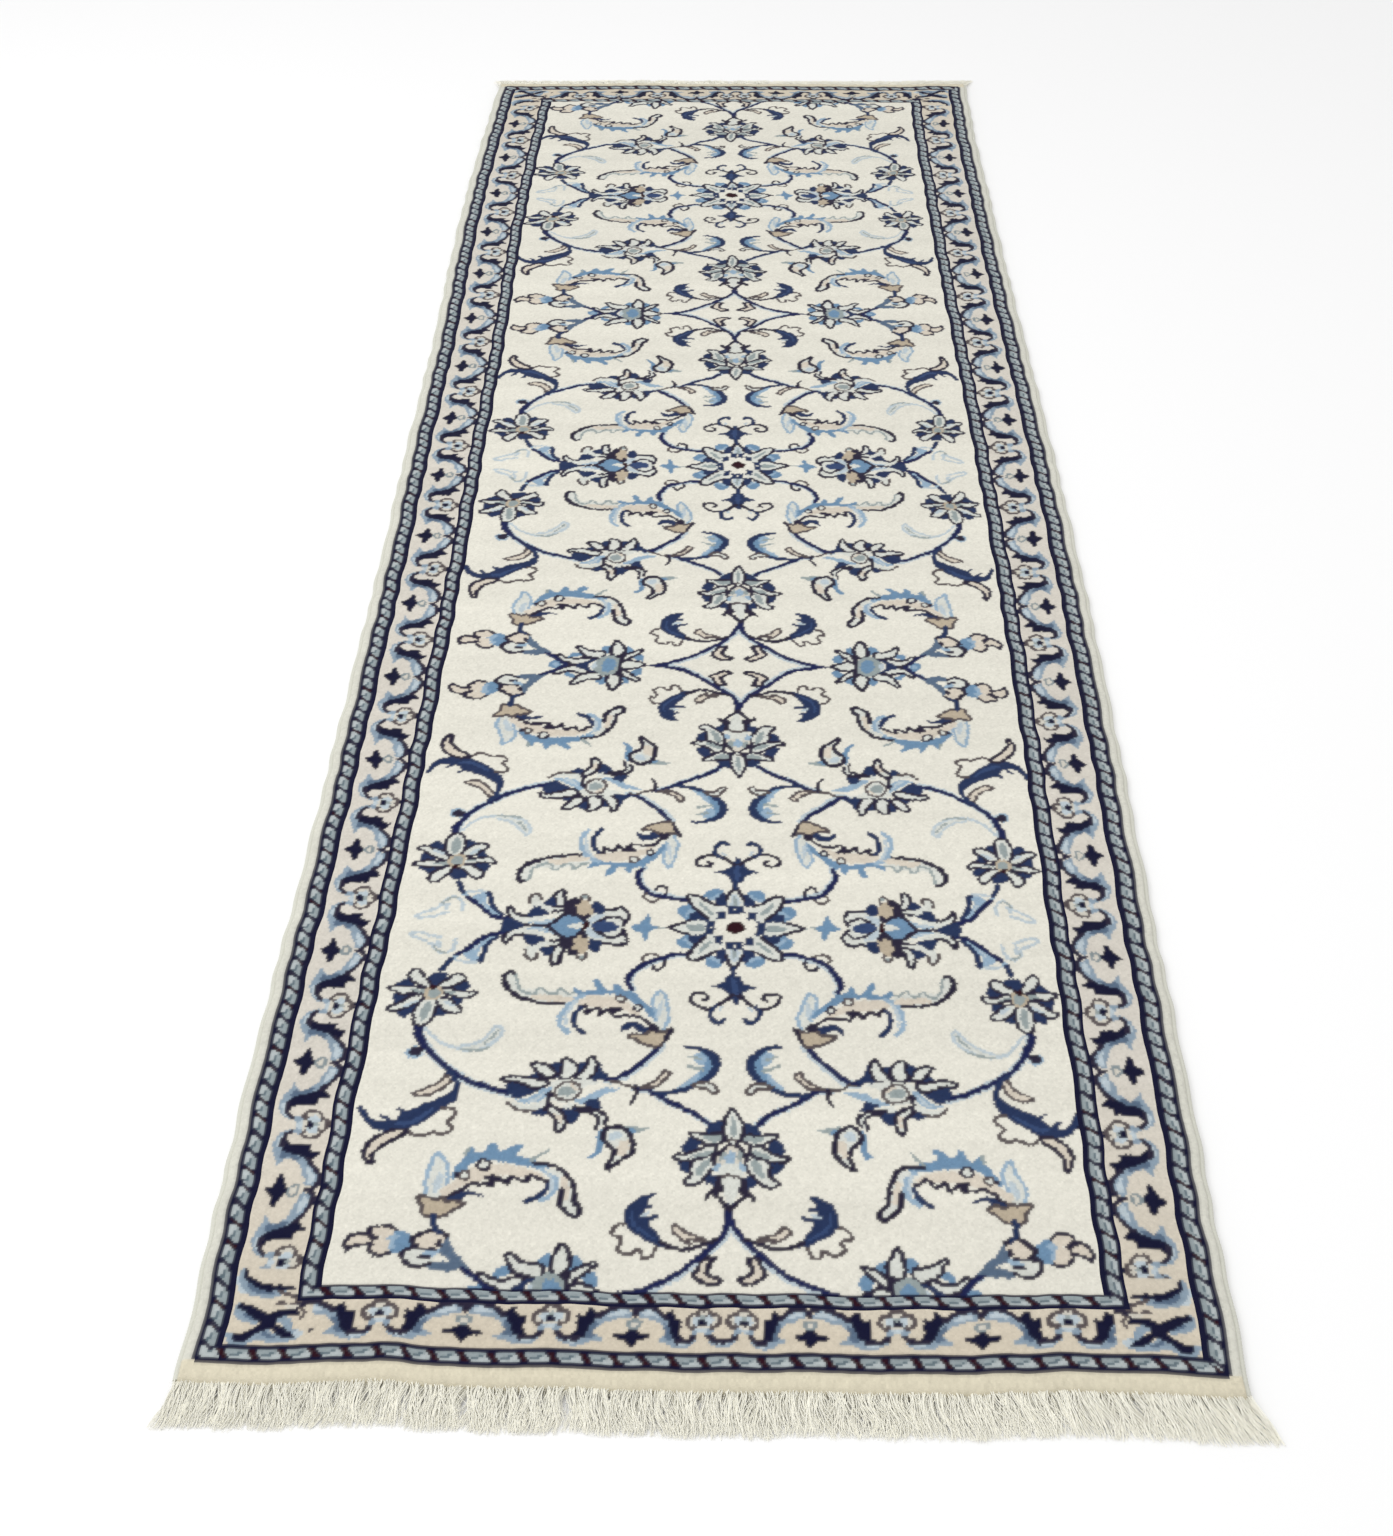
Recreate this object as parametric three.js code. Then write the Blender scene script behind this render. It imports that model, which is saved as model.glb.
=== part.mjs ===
// A runner rug: hand-knotted wool pile on a woven cotton ground, lying flat.
// Millimetres, +Z up. The origin is the centre of the underside, on the floor.
// X runs across the rug and Y along it. The front end is at -Y.
import * as THREE from "three";

// Size over the pile and the selvedges, without the end finish and the fringes.
const rugWidth = 800;
const rugLength = 2384;

// Pieces that lie against each other keep this gap.
const gap = 0.3;

// Heights above the floor.
const groundThickness = 3;
const pileBase = groundThickness + gap;
const pileTop = 10;
const pileEdgeRadius = 4; // the sheared outer edge of the outermost pile

// Selvedge: a cable of bundled warps down each long side, overcast with wool.
const selvedgeDiameter = 7;
const selvedgeWrapWall = 1.2;
const selvedgeSegments = 24;

// Bands of the design from the outside in: width on the long sides and width at the ends.
const bands = [
  { name: "outer_band", side: 7.6, end: 14.6, yarn: "cream", sheared: true },
  { name: "outer_guard", side: 17.3, end: 11.2, yarn: "guard" },
  { name: "main_border", side: 49.2, end: 38.5, yarn: "border" },
  { name: "inner_guard", side: 17.8, end: 10.8, yarn: "guard" },
];

// End finish: a strip of flat weave, with a twined cord on it that locks the knots.
const kilimWidth = 4;
const kilimThickness = 1.8;
const twiningDiameter = 2.2;
const twiningSegments = 16;

// Fringe: the warps' free ends, lying on the floor in locks that share one root.
const fringeLength = 32;
const fringeThickness = 5;
const fringeRoot = 4;
const lockPitch = 13;
const slitWidth = 1;
const lockTaper = 3; // how far a lock's tip stands beyond its shoulders
const tipRaggedness = 4; // how much shorter than the longest a lock may be
const fanReach = 14; // how far the outermost lock leans past the edge
const fanPower = 7; // the lean grows with this power of the place across the rug

const yarns = {
  cotton: { color: 0xe6e3d8, roughness: 0.95 },
  cream: { color: 0xebe8dc, roughness: 0.92 },
  guard: { color: 0x6d7688, roughness: 0.92 },
  border: { color: 0xcfc8ba, roughness: 0.92 },
};

const rug = new THREE.Group();

function add(name, geometry, yarn) {
  const material = new THREE.MeshStandardMaterial({ ...yarns[yarn], metalness: 0 });
  const mesh = new THREE.Mesh(geometry, material);
  mesh.name = name;
  rug.add(mesh);
  return mesh;
}

// A slab that is centred across and along the rug.
function addSlab(name, width, length, bottom, top, yarn) {
  const slab = add(name, new THREE.BoxGeometry(width, length, top - bottom), yarn);
  slab.position.z = (bottom + top) / 2;
  return slab;
}

// A round rod on its own axis, which is Y.
function rod(radius, length, segments) {
  return new THREE.CylinderGeometry(radius, radius, length, segments);
}

// A section drawn in (across, up) and run straight, half its length to each side.
function run(section, length, curveSegments) {
  const options = { depth: length, bevelEnabled: false, curveSegments };
  return new THREE.ExtrudeGeometry(section, options).translate(0, 0, -length / 2);
}

// The section of a run of pile. It starts at the outer face and goes inwards.
function pileSection(width, outerEdgeRadius) {
  const height = pileTop - pileBase;
  const section = new THREE.Shape();
  section.moveTo(0, 0);
  section.lineTo(width, 0);
  section.lineTo(width, height);
  if (outerEdgeRadius > 0) {
    section.lineTo(outerEdgeRadius, height);
    section.absarc(
      outerEdgeRadius,
      height - outerEdgeRadius,
      outerEdgeRadius,
      Math.PI / 2,
      Math.PI,
      false,
    );
  } else {
    section.lineTo(0, height);
  }
  return section;
}

// Woven ground, between the selvedges.
const groundWidth = rugWidth - 2 * (selvedgeDiameter + gap);
addSlab("woven_ground", groundWidth, rugLength, 0, groundThickness, "cotton");

// Selvedges: the wool wrap is a tube, and the warp cable runs through it.
const wrapRadius = selvedgeDiameter / 2;
const wrapBore = wrapRadius - selvedgeWrapWall;
const wrapSection = new THREE.Shape().absarc(0, 0, wrapRadius, 0, 2 * Math.PI);
wrapSection.holes.push(new THREE.Path().absarc(0, 0, wrapBore, 0, 2 * Math.PI, true));
for (const [side, sign] of [["left", -1], ["right", 1]]) {
  const x = sign * (rugWidth / 2 - wrapRadius);
  const wrap = add(
    `selvedge_wrap_${side}`,
    run(wrapSection, rugLength, selvedgeSegments / 2),
    "cream",
  );
  wrap.rotation.x = Math.PI / 2;
  wrap.position.set(x, 0, wrapRadius);
  const cable = add(
    `selvedge_cable_${side}`,
    rod(wrapBore - gap, rugLength, selvedgeSegments),
    "cotton",
  );
  cable.position.set(x, 0, wrapRadius);
}

// Pile, band by band from the outside in, then the field that the bands frame.
// A band's long sides run its full length, and its ends fit between them.
let halfX = groundWidth / 2;
let halfY = rugLength / 2;
for (const { name, side, end, yarn, sheared } of bands) {
  const edgeRadius = sheared ? pileEdgeRadius : 0;
  const sideRun = run(pileSection(side - gap, edgeRadius), 2 * halfY, 8);
  const endRun = run(pileSection(end - gap, edgeRadius), 2 * (halfX - side), 8);
  for (const [place, geometry, x, y, turn] of [
    ["left", sideRun, -halfX, 0, 0],
    ["front", endRun, 0, -halfY, Math.PI / 2],
    ["right", sideRun, halfX, 0, Math.PI],
    ["back", endRun, 0, halfY, -Math.PI / 2],
  ]) {
    const piece = add(`${name}_${place}`, geometry, yarn);
    piece.rotation.set(Math.PI / 2, 0, turn, "ZYX");
    piece.position.set(x, y, pileBase);
  }
  halfX -= side;
  halfY -= end;
}
addSlab("field_pile", 2 * halfX, 2 * halfY, pileBase, pileTop, "cream");

// One fringe seen from above, from its root at y = 0 to its tips at -y.
function fringeOutline(width) {
  const lockCount = Math.floor(width / lockPitch);
  const pitch = width / lockCount;
  const outline = new THREE.Shape();
  outline.moveTo(width / 2, 0);
  outline.lineTo(-width / 2, 0);
  for (let lock = 0; lock < lockCount; lock++) {
    const middle = (lock + 0.5) * pitch - width / 2;
    const left = lock === 0 ? -width / 2 : middle - (pitch - slitWidth) / 2;
    const right = lock === lockCount - 1 ? width / 2 : middle + (pitch - slitWidth) / 2;
    const place = middle / (width / 2);
    const lean = fanReach * Math.sign(place) * Math.abs(place) ** fanPower;
    const reach = fringeLength - tipRaggedness * Math.sin(2.4 * lock) ** 2;
    outline.lineTo(left, -fringeRoot);
    outline.lineTo(left + lean, lockTaper - reach);
    outline.lineTo(middle + lean, -reach);
    outline.lineTo(right + lean, lockTaper - reach);
    outline.lineTo(right, -fringeRoot);
  }
  return outline;
}

// End finish and fringe, at each end.
const fringeOptions = { depth: fringeThickness, bevelEnabled: false };
const kilimMiddle = rugLength / 2 + gap + kilimWidth / 2;
const fringeStart = kilimMiddle + kilimWidth / 2 + gap;
for (const [end, sign] of [["front", -1], ["back", 1]]) {
  const kilim = addSlab(
    `end_kilim_${end}`,
    rugWidth,
    kilimWidth,
    0,
    kilimThickness,
    "cotton",
  );
  kilim.position.y = sign * kilimMiddle;

  const twining = add(
    `end_twining_${end}`,
    rod(twiningDiameter / 2, rugWidth, twiningSegments),
    "cotton",
  );
  twining.rotation.z = Math.PI / 2;
  twining.position.set(0, sign * kilimMiddle, kilimThickness + gap + twiningDiameter / 2);

  const fringe = add(
    `fringe_${end}`,
    new THREE.ExtrudeGeometry(fringeOutline(rugWidth), fringeOptions),
    "cotton",
  );
  fringe.rotation.z = sign > 0 ? Math.PI : 0;
  fringe.position.y = sign * fringeStart;
}

export default rug;
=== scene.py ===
import math

import bmesh
import bpy
import numpy as np
from mathutils import Matrix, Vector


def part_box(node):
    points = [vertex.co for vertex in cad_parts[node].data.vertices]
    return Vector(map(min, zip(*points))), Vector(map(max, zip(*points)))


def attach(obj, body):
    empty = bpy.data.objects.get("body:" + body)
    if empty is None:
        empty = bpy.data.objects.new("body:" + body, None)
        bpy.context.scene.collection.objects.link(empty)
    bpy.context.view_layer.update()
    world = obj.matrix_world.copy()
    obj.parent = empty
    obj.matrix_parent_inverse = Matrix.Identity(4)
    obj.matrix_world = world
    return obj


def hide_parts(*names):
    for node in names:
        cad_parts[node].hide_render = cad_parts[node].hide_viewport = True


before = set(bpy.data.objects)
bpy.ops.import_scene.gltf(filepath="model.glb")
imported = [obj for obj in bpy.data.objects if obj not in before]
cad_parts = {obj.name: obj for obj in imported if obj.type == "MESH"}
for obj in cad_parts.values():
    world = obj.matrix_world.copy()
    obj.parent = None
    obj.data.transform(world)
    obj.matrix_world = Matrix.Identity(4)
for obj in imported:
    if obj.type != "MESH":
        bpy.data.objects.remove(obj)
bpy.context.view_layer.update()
rng = np.random.default_rng(7)
scene = bpy.context.scene

# ------------------------------------------------------------------ camera
STANDS_AT = (0.0146, -1.8405, 1.2419)
TURN, TIP, ROLL = (math.radians(a) for a in (1.689, 46.887, -0.683))
camera_data = bpy.data.cameras.new("camera")
camera_data.lens, camera_data.sensor_width, camera_data.sensor_fit = 41.77, 36, "AUTO"
camera_data.clip_start, camera_data.clip_end = 0.05, 60
camera = bpy.data.objects.new("camera", camera_data)
scene.collection.objects.link(camera)
camera.matrix_world = (
    Matrix.Translation(STANDS_AT)
    @ Matrix.Rotation(TURN, 4, "Z")
    @ Matrix.Rotation(TIP, 4, "X")
    @ Matrix.Rotation(ROLL, 4, "Z")
)
scene.camera = camera
scene.view_settings.view_transform = "Standard"

# ------------------------------------------------------------------ the rug's sizes, millimetres
BANDS = ("outer_band", "outer_guard", "main_border", "inner_guard")  # from the outside in


def cad(node_name):
    """A CAD node's lowest and highest corners, in millimetres to a tenth."""
    return [[round(1000 * v, 1) for v in corner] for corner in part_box(node_name)]


ACROSS, ALONG, PILE_FOOT = cad("woven_ground")[1]  # half the width, half the length, the height
PILE_TOP = cad("field_pile")[1][2]
# Where each band and then the field begin, on the left and at the front.
SIDE_X = [cad(f"{band}_left")[0][0] for band in BANDS] + [cad("field_pile")[0][0]]
END_Y = [cad(f"{band}_front")[0][1] for band in BANDS] + [cad("field_pile")[0][1]]
# The pile swells over the ground's edge, and meets the bound sides almost flush.
PILE_ACROSS, PILE_ALONG = round(ACROSS + 2.9, 1), round(ALONG + 2.4, 1)
SIDE_ROUND, END_ROUND = 3.6, 6.0
wrap_low, wrap_high = cad("selvedge_wrap_right")
SELVEDGE_R = (wrap_high[0] - wrap_low[0]) / 2
SELVEDGE_X = wrap_low[0] + SELVEDGE_R
KNOT = 1.85

# ------------------------------------------------------------------ the knot chart
# Yarn colours, sRGB 0 to 255.
YARNS = {
    "ivory": (234, 231, 218),
    "pearl": (219, 221, 213),
    "navy": (44, 57, 90),
    "vine": (36, 42, 82),
    "night": (27, 28, 54),
    "ink": (48, 44, 62),
    "umber": (88, 80, 82),
    "blue": (112, 144, 174),
    "sky": (152, 177, 198),
    "mist": (190, 203, 210),
    "slate": (152, 163, 163),
    "pewter": (134, 145, 149),
    "tan": (190, 176, 154),
    "sand": (219, 209, 193),
    "maroon": (52, 24, 33),
    "denim": (58, 76, 114),
    "steel": (92, 110, 132),
    "shadow": (92, 108, 117),
    "border_side": (218, 212, 201),
    "guard_light": (184, 192, 193),
    "guard_mid": (152, 163, 166),
    "haze": (142, 160, 176),
    "shell": (215, 210, 197),
    "border": (215, 204, 184),
    "plain": (221, 220, 208),
    "plain_end": (224, 216, 192),
}
YARN = {name: k for k, name in enumerate(YARNS)}
# A thin line is knotted a little heavier than it is drawn.
THIN, HEAVIER = 6, 0.9


def curve(points, closed=False, steps=5):
    """A smooth curve through x, y, x, y and so on (Catmull-Rom). Two points give a line."""
    p = np.asarray(points, float).reshape(-1, 2)
    if len(p) < 3:
        return p
    if closed:
        q = np.vstack([p[-1], p, p[:2]])
    else:
        q = np.vstack([2 * p[0] - p[1], p, 2 * p[-1] - p[-2]])
    t = np.linspace(0, 1, steps, endpoint=False)[:, None]
    out = []
    for a, b, c, d in zip(q[:-3], q[1:-2], q[2:-1], q[3:]):
        square = (2 * a - 5 * b + 4 * c - d) * t**2
        out.append(0.5 * (2 * b + (c - a) * t + square + (3 * b - a - 3 * c + d) * t**3))
    out = np.vstack(out)
    return out if closed else np.vstack([out, p[-1]])


class Chart:
    """Squared paper with one yarn in each cell. bold makes its lines thicker or thinner."""

    def __init__(self, low, high, fine, ground, bold=1):
        self.low = np.array(low, float)
        self.fine = fine
        self.bold = bold
        n = np.ceil((np.array(high) - low) * fine).astype(int)
        self.cells = np.full((n[1], n[0]), YARN[ground], np.uint8)

    def _patch(self, p, pad):
        """The cells round some points: where they are, and the middle of each."""
        lo = np.floor((p.min(0) - pad - self.low) * self.fine).astype(int).clip(0)
        hi = np.ceil((p.max(0) + pad - self.low) * self.fine).astype(int) + 1
        hi = np.minimum(hi, self.cells.shape[::-1])
        if (hi <= lo).any():
            return None
        x = (np.arange(lo[0], hi[0]) + 0.5) / self.fine + self.low[0]
        y = (np.arange(lo[1], hi[1]) + 0.5) / self.fine + self.low[1]
        return (slice(lo[1], hi[1]), slice(lo[0], hi[0])), *np.meshgrid(x, y)

    def _stroke(self, yarn, width, points, closed=False):
        p = curve(points, closed)
        if closed:
            p = np.vstack([p, p[:1]])
        w = np.atleast_1d(np.asarray(width, float))
        w = w + HEAVIER * (w < THIN)
        half = np.interp(np.linspace(0, 1, len(p)), np.linspace(0, 1, len(w)), w) / 2
        for a, b, r0, r1 in zip(p[:-1], p[1:], half[:-1], half[1:]):
            got = self._patch(np.array([a, b]), r0 + 1)
            if not got:
                continue
            at, x, y = got
            d = b - a
            t = np.clip(((x - a[0]) * d[0] + (y - a[1]) * d[1]) / max(d @ d, 1e-9), 0, 1)
            r = r0 + (r1 - r0) * t
            near = (x - a[0] - t * d[0]) ** 2 + (y - a[1] - t * d[1]) ** 2 < r * r
            self.cells[at][near] = YARN[yarn]

    def line(self, yarn, width, points, closed=False):
        """A line of one width, or of several that follow each other evenly along it."""
        self._stroke(yarn, np.multiply(self.bold, width), points, closed)

    def fill(self, yarn, points, edge=None, width=3.0):
        """A closed shape, with an outline in another yarn if edge names one."""
        p = curve(points, True)
        got = self._patch(p, 0)
        if got:
            at, x, y = got
            inside = np.zeros(x.shape, bool)
            for (x0, y0), (x1, y1) in zip(p, np.roll(p, -1, 0)):
                if y0 != y1:
                    crossing = (x1 - x0) * (y - y0) / (y1 - y0) + x0
                    inside ^= ((y0 > y) != (y1 > y)) & (x < crossing)
            self.cells[at][inside] = YARN[yarn]
        if edge:
            self._stroke(edge, width, points, closed=True)

    def dot(self, yarn, x, y, r):
        self._stroke(yarn, 2 * r, (x, y, x + 0.01, y))

    def ring(self, edge, width, x, y, r):
        self.dot(edge, x, y, r + width / 2)
        self.dot("pearl", x, y, r - width / 2)

    def read(self, x, y):
        """The yarn at points of the chart."""
        i = ((x - self.low[0]) * self.fine).astype(int).clip(0, self.cells.shape[1] - 1)
        j = ((y - self.low[1]) * self.fine).astype(int).clip(0, self.cells.shape[0] - 1)
        return self.cells[j, i]


BUD_STEM = (748,79, 757,88, 763,95, 771,100, 779,107, 786,114, 793,124)


def vines(c):
    """The vines, most with a pale line close beside them."""
    low_loop = (519,186, 520,172, 522,160, 527,148, 533,140, 541,132, 550,124, 560,115, 572,104,
        583,96, 596,89, 610,84, 625,80, 648,75)
    upward = (545,285, 555,294, 566,301, 580,308, 591,314, 602,321, 614,328, 627,330)
    downward = (601,389, 606,381, 612,373, 620,365, 630,356, 640,347, 649,341, 657,340)
    past_rosette = (574,524, 590,523.5, 601,520, 612,517, 622,513, 630,506, 636,497, 640,488,
        641,480, 637,471)
    to_side_flower = (778,557, 795,552, 803,546, 810,538, 816,531, 822,525, 827,521)
    circle = (852,412, 852,402, 848,393, 843,383, 836,372, 826,361, 815,352, 805,344, 795,337,
        783,331, 770,325, 752,320)
    beside = (low_loop, upward, downward, past_rosette, circle, BUD_STEM)
    for path, width in zip(beside, (10, 9, 11, 9, 10, 8)):
        c.line("mist", width, np.subtract(path, 1.2))
    c.line("vine", (7, 6.5, 5.5, 5, 5, 5), low_loop)
    c.line("vine", 5.2, upward)
    c.line("vine", (4.8, 5.4, 5.4, 5), downward)
    c.line("vine", (4, 4.6, 5.8, 7.5, 5), past_rosette)
    c.fill("sky", (786,551, 800,546, 812,533, 822,523, 815,514, 803,513, 806,525, 799,538))
    c.fill("mist", (790,549, 802,540, 810,531, 809,527, 803,538, 796,545))
    c.line("mist", 3, (802,511, 814,510, 826,511))
    c.line("sky", 5, (826,521, 830,515, 834,509))
    c.line("vine", 5.4, to_side_flower)
    c.line("umber", 2.5, (610,521, 617,526, 625,525, 630,519, 627,513))
    c.line("ink", 3, (602,514, 602,507, 607,502, 613,501, 616,507))
    c.line("navy", (4, 5, 7), (786,549, 793,542, 798,533, 800,523, 802,513))
    c.line("navy", 5.5, (832,512, 835,504, 838,496))
    c.line("vine", (9, 8, 6, 5.2, 5.2, 5), circle)
    c.dot("sky", 853, 375, 8.5)
    c.dot("ink", 852, 376, 6.5)
    c.dot("mist", 846, 372, 2)


def rosette(c):
    """A quarter of the big rosette."""
    c.fill("navy", (552,556, 560,557, 574,556.5, 574,548, 568,541, 562,541, 556,549))
    c.fill("navy", (529,531, 535,532, 541,528, 542,520, 538,514, 533,511, 529,513, 528,522))
    c.fill("blue", (575,556, 583,551, 589,545, 588,538, 582,533, 573,533, 570,538, 573,546,
        574,551))
    c.fill("blue", (534,511, 541,517, 548,521, 555,517, 554,510, 547,504, 538,504, 533,508))
    c.line("sky", 4, (568,540, 574,542, 578,547))
    c.line("sky", 4, (538,514, 544,519, 549,521))
    c.fill("pearl", (532,541, 541,531, 550,525, 559,519, 567,516, 575,516, 576,521, 572,531,
        564,541, 556,549, 548,556, 544,557))
    c.fill("slate", (545,544, 551,536, 560,528, 564,524, 563,530, 556,539, 549,546))
    c.line("ink", (2.5, 4, 3, 4, 4, 3.5), (540,531, 550,525, 560,518, 568,515, 575,516, 576,521,
        572,531, 563,542, 553,552))
    c.fill("pearl", (554,578, 555,557, 575,556.5, 585,560, 600,567.5, 585,574, 575,578))
    c.fill("slate", (556,575, 557,562, 572,563, 580,567, 572,571))
    c.line("ink", (3, 3.5, 3.5), (574,556, 585,560.5, 594,564, 601,567.5))
    c.fill("pearl", (508,532, 527,532, 528,520, 524,509, 519,499, 514,509))
    c.fill("mist", (514,532, 524,531, 524,519, 519,511, 515,518))
    c.fill("slate", (516,531, 521,531, 521,520, 519,514, 516,520))
    c.line("ink", (3, 4, 4), (529,522, 526,512, 522,505, 519,499))
    squares = (544.5,556.5, 554,566), (520,532, 528.5,543.5), (532.5,541, 542,553)
    for x0, y0, x1, y1 in squares:
        thick = min(x1 - x0, y1 - y0)
        middle = x0 + (x1 - x0) / 2
        c.line("navy", thick, (middle, y0 + thick / 2, middle, y1 - thick / 2))
        for x in (x0 + 1.2, x1 - 1.2):
            for y in (y0 + 1.2, y1 - 1.2):
                c.dot("navy", x, y, 1.6)
    c.fill("maroon", (507,567, 512,560, 519,557, 526,560, 531,567, 526,574, 519,577, 512,574))


def anchor(c):
    """The hooked ornament before the rosette."""
    c.line("navy", (6, 7, 10, 12, 9, 8), (519,502, 519,492, 519,480, 519,470, 519,462, 519,454))
    c.fill("navy", (512,491, 526,491, 529,483, 537,478, 547,475, 534,471, 528,465, 522,455,
        512,455))
    c.line("denim", (4, 8, 5), (519,486, 519,476, 519,466))
    c.line("ink", (5, 4, 3.5, 3.5, 3.5, 3), (523,462, 531,454, 538,449, 545,445, 553,444, 561,447,
        568,452, 571,458, 568,464, 561,466, 554,464, 551,459, 556,456))
    c.line("navy", (3.5, 5, 5, 5, 6), (540,449, 546,442, 547,434, 543,427, 537,423, 531,427))
    c.line("mist", 2.5, (534,446, 537,441))


def arrow(c):
    """The blue arrow beside the rosette."""
    c.fill("slate", (598,567.5, 612,565, 620,563, 620,572, 612,570))
    c.fill("blue", (612,567.5, 621,561, 622,552, 625,546, 628,551, 631,559, 643,567.5, 631,577,
        621,575))


def side_palmette(c):
    """The palmette that the arrow points to."""
    c.fill("pearl", (651,567, 651,560, 646,553, 647,545, 652,540, 658,538, 666,540, 675,541,
        688,546, 693,553, 695,567, 690,575, 655,575))
    c.fill("mist", (672,548, 684,549, 691,557, 690,566, 684,560, 678,554))
    c.line("ink", (4, 3, 4, 3.5, 3.5), (651,563, 646,552, 648,544, 656,538, 664,540, 674,540))
    c.line("ink", (3, 3, 3), (651,558, 658,552, 666,551, 674,555, 680,560, 686,567))
    c.fill("denim", (657,567, 660,562, 668,559, 678,559, 684,563, 687,568, 680,576, 665,576))
    c.fill("navy", (673,541, 677,546, 686,546, 689,539, 688,531, 683,526, 677,530))
    c.fill("tan", (690,553, 700,552, 707,547, 714,540, 708,531, 703,525, 697,523, 692,528, 689,537,
        688,546))
    c.line("umber", 3, (692,525, 693,519, 697,515, 702,518, 703,524))
    c.dot("slate", 697, 518.5, 2.5)
    c.fill("ink", (706,546, 714,546, 716,538, 712,532, 706,536))
    c.fill("ink", (703,530, 712,531, 715,525, 709,520, 703,524))
    c.fill("pearl", (713,537, 718,528, 720,518, 721,509, 726,508, 729,514, 730,523, 728,531,
        723,538), "ink", 3.5)
    c.fill("pearl", (716,542, 724,537, 733,536, 741,532, 745,524, 744,517, 750,515, 755,520,
        756,529, 752,536, 742,541, 730,545))
    c.line("ink", 3.2, (716,536, 725,535, 733,533))
    c.line("umber", 3, (744,524, 745,517, 750,515, 755,520, 756,530))
    c.fill("navy", (727,534, 736,534, 742,529, 738,524, 731,521, 728,528))
    c.fill("pearl", (712,548, 725,546, 736,552, 748,560, 760,565, 772,556, 779,548, 779,539,
        775,541, 772,548, 762,552, 748,552))
    c.fill("sky", (722,553, 735,556, 748,560, 756,562, 748,564, 734,563, 724,560))
    c.fill("mist", (728,556, 742,559, 752,561, 742,562))
    c.line("ink", (3, 3, 3), (712,543, 722,543, 730,543))
    c.line("ink", (4, 3, 3, 3.5, 3), (757,552, 764,552, 770,549, 774,544, 776,539, 780,540, 780,548,
        776,555))
    c.fill("navy", (734,546, 742,551, 757,552.5, 756,544, 752,537, 746,536, 740,541))
    c.fill("blue", (697,575, 697,560, 703,552, 712,550, 720,553, 724,560, 733,567.5, 724,576))
    c.line("ink", (5, 4, 3.5, 4, 4), (692,550, 696,557, 704,550, 714,547, 722,552, 728,560,
        736,567))
    c.fill("pearl", (696,573, 697,563, 703,562, 711,565, 713,568, 706,573))
    c.line("maroon", 5.5, (693,563, 693,572))
    c.line("ink", 4, (735,567.5, 762,567.5))
    c.fill("navy", (758,567.5, 766,561, 776,556, 784,558, 786,567.5, 780,575, 766,573))


def pale_leaf(c):
    """Two faint leaves by the border."""
    c.line("mist", 3.4, (831,544, 831,533, 835,524, 842,521, 849,527, 853,535))
    c.line("mist", 3.4, (846,546, 855,549, 866,554, 875,554, 873,548, 863,542, 855,537))
    c.line("slate", 2, (838,522, 846,524, 851,531))
    c.line("mist", 4, (846,532, 848,540))


def side_flower(c):
    """The flower on the vine by the border."""
    middle, share = (845, 459), 0.93

    def closer(points):
        return middle + share * (np.reshape(points, (-1, 2)) - middle)

    for petal in (
        (829,491, 838,494, 848,492, 849,482, 843,474, 836,478, 831,484),
        (805,477, 812,481, 821,475, 828,470, 820,465, 812,464, 806,468),
        (809,456, 820,455, 826,450, 819,443, 813,439, 811,448),
        (825,432, 837,443, 838,432, 837,424, 830,423, 825,427),
        (860,439, 870,438, 877,433, 875,426, 870,423, 864,427),
        (870,461, 882,463, 885,455, 882,445, 876,445, 869,453),
        (865,472, 869,485, 876,482, 884,474, 876,471),
    ):
        c.fill("navy", closer(petal))
    for petal in (
        (840,450, 838,433, 840,419, 845,411, 855,411, 859,420, 860,434, 854,450),
        (838,453, 825,452, 818,444, 809,435, 812,430, 822,429, 831,435, 839,446),
        (837,461, 822,457, 808,454, 799,460, 799,466, 808,464, 817,465, 827,468, 837,466),
        (840,468, 826,470, 819,475, 812,481, 811,488, 816,493, 823,491, 829,484, 836,477,
            843,472),
        (846,471, 851,482, 856,492, 862,500, 868,498, 871,490, 867,481, 860,475, 852,470),
        (850,467, 862,471, 876,472, 889,471, 889,466, 882,463, 876,459, 866,461, 854,462),
        (853,458, 864,457, 871,452, 879,445, 888,440, 887,434, 880,433, 872,437, 862,443,
            855,450),
    ):
        c.fill("pearl", closer(petal), "ink", 2.5)
    c.fill("slate", (845,446, 844,430, 847,421, 851,421, 853,430, 851,446))
    c.fill("mist", (820,440, 828,443, 833,449, 826,449))
    c.fill("slate", (852,459, 862,463, 870,464, 862,467, 853,466))
    c.fill("mist", (858,451, 866,446, 872,441, 866,441, 859,447))
    c.fill("slate", (818,461, 828,463, 835,463, 828,460))
    c.fill("tan", (836,468, 835,459, 839,451, 847,450, 853,455, 854,463, 850,470, 843,472))
    c.fill("slate", (839,466, 838,458, 844,453, 850,457, 849,466))
    c.dot("maroon", 845, 470, 3.6)


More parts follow.
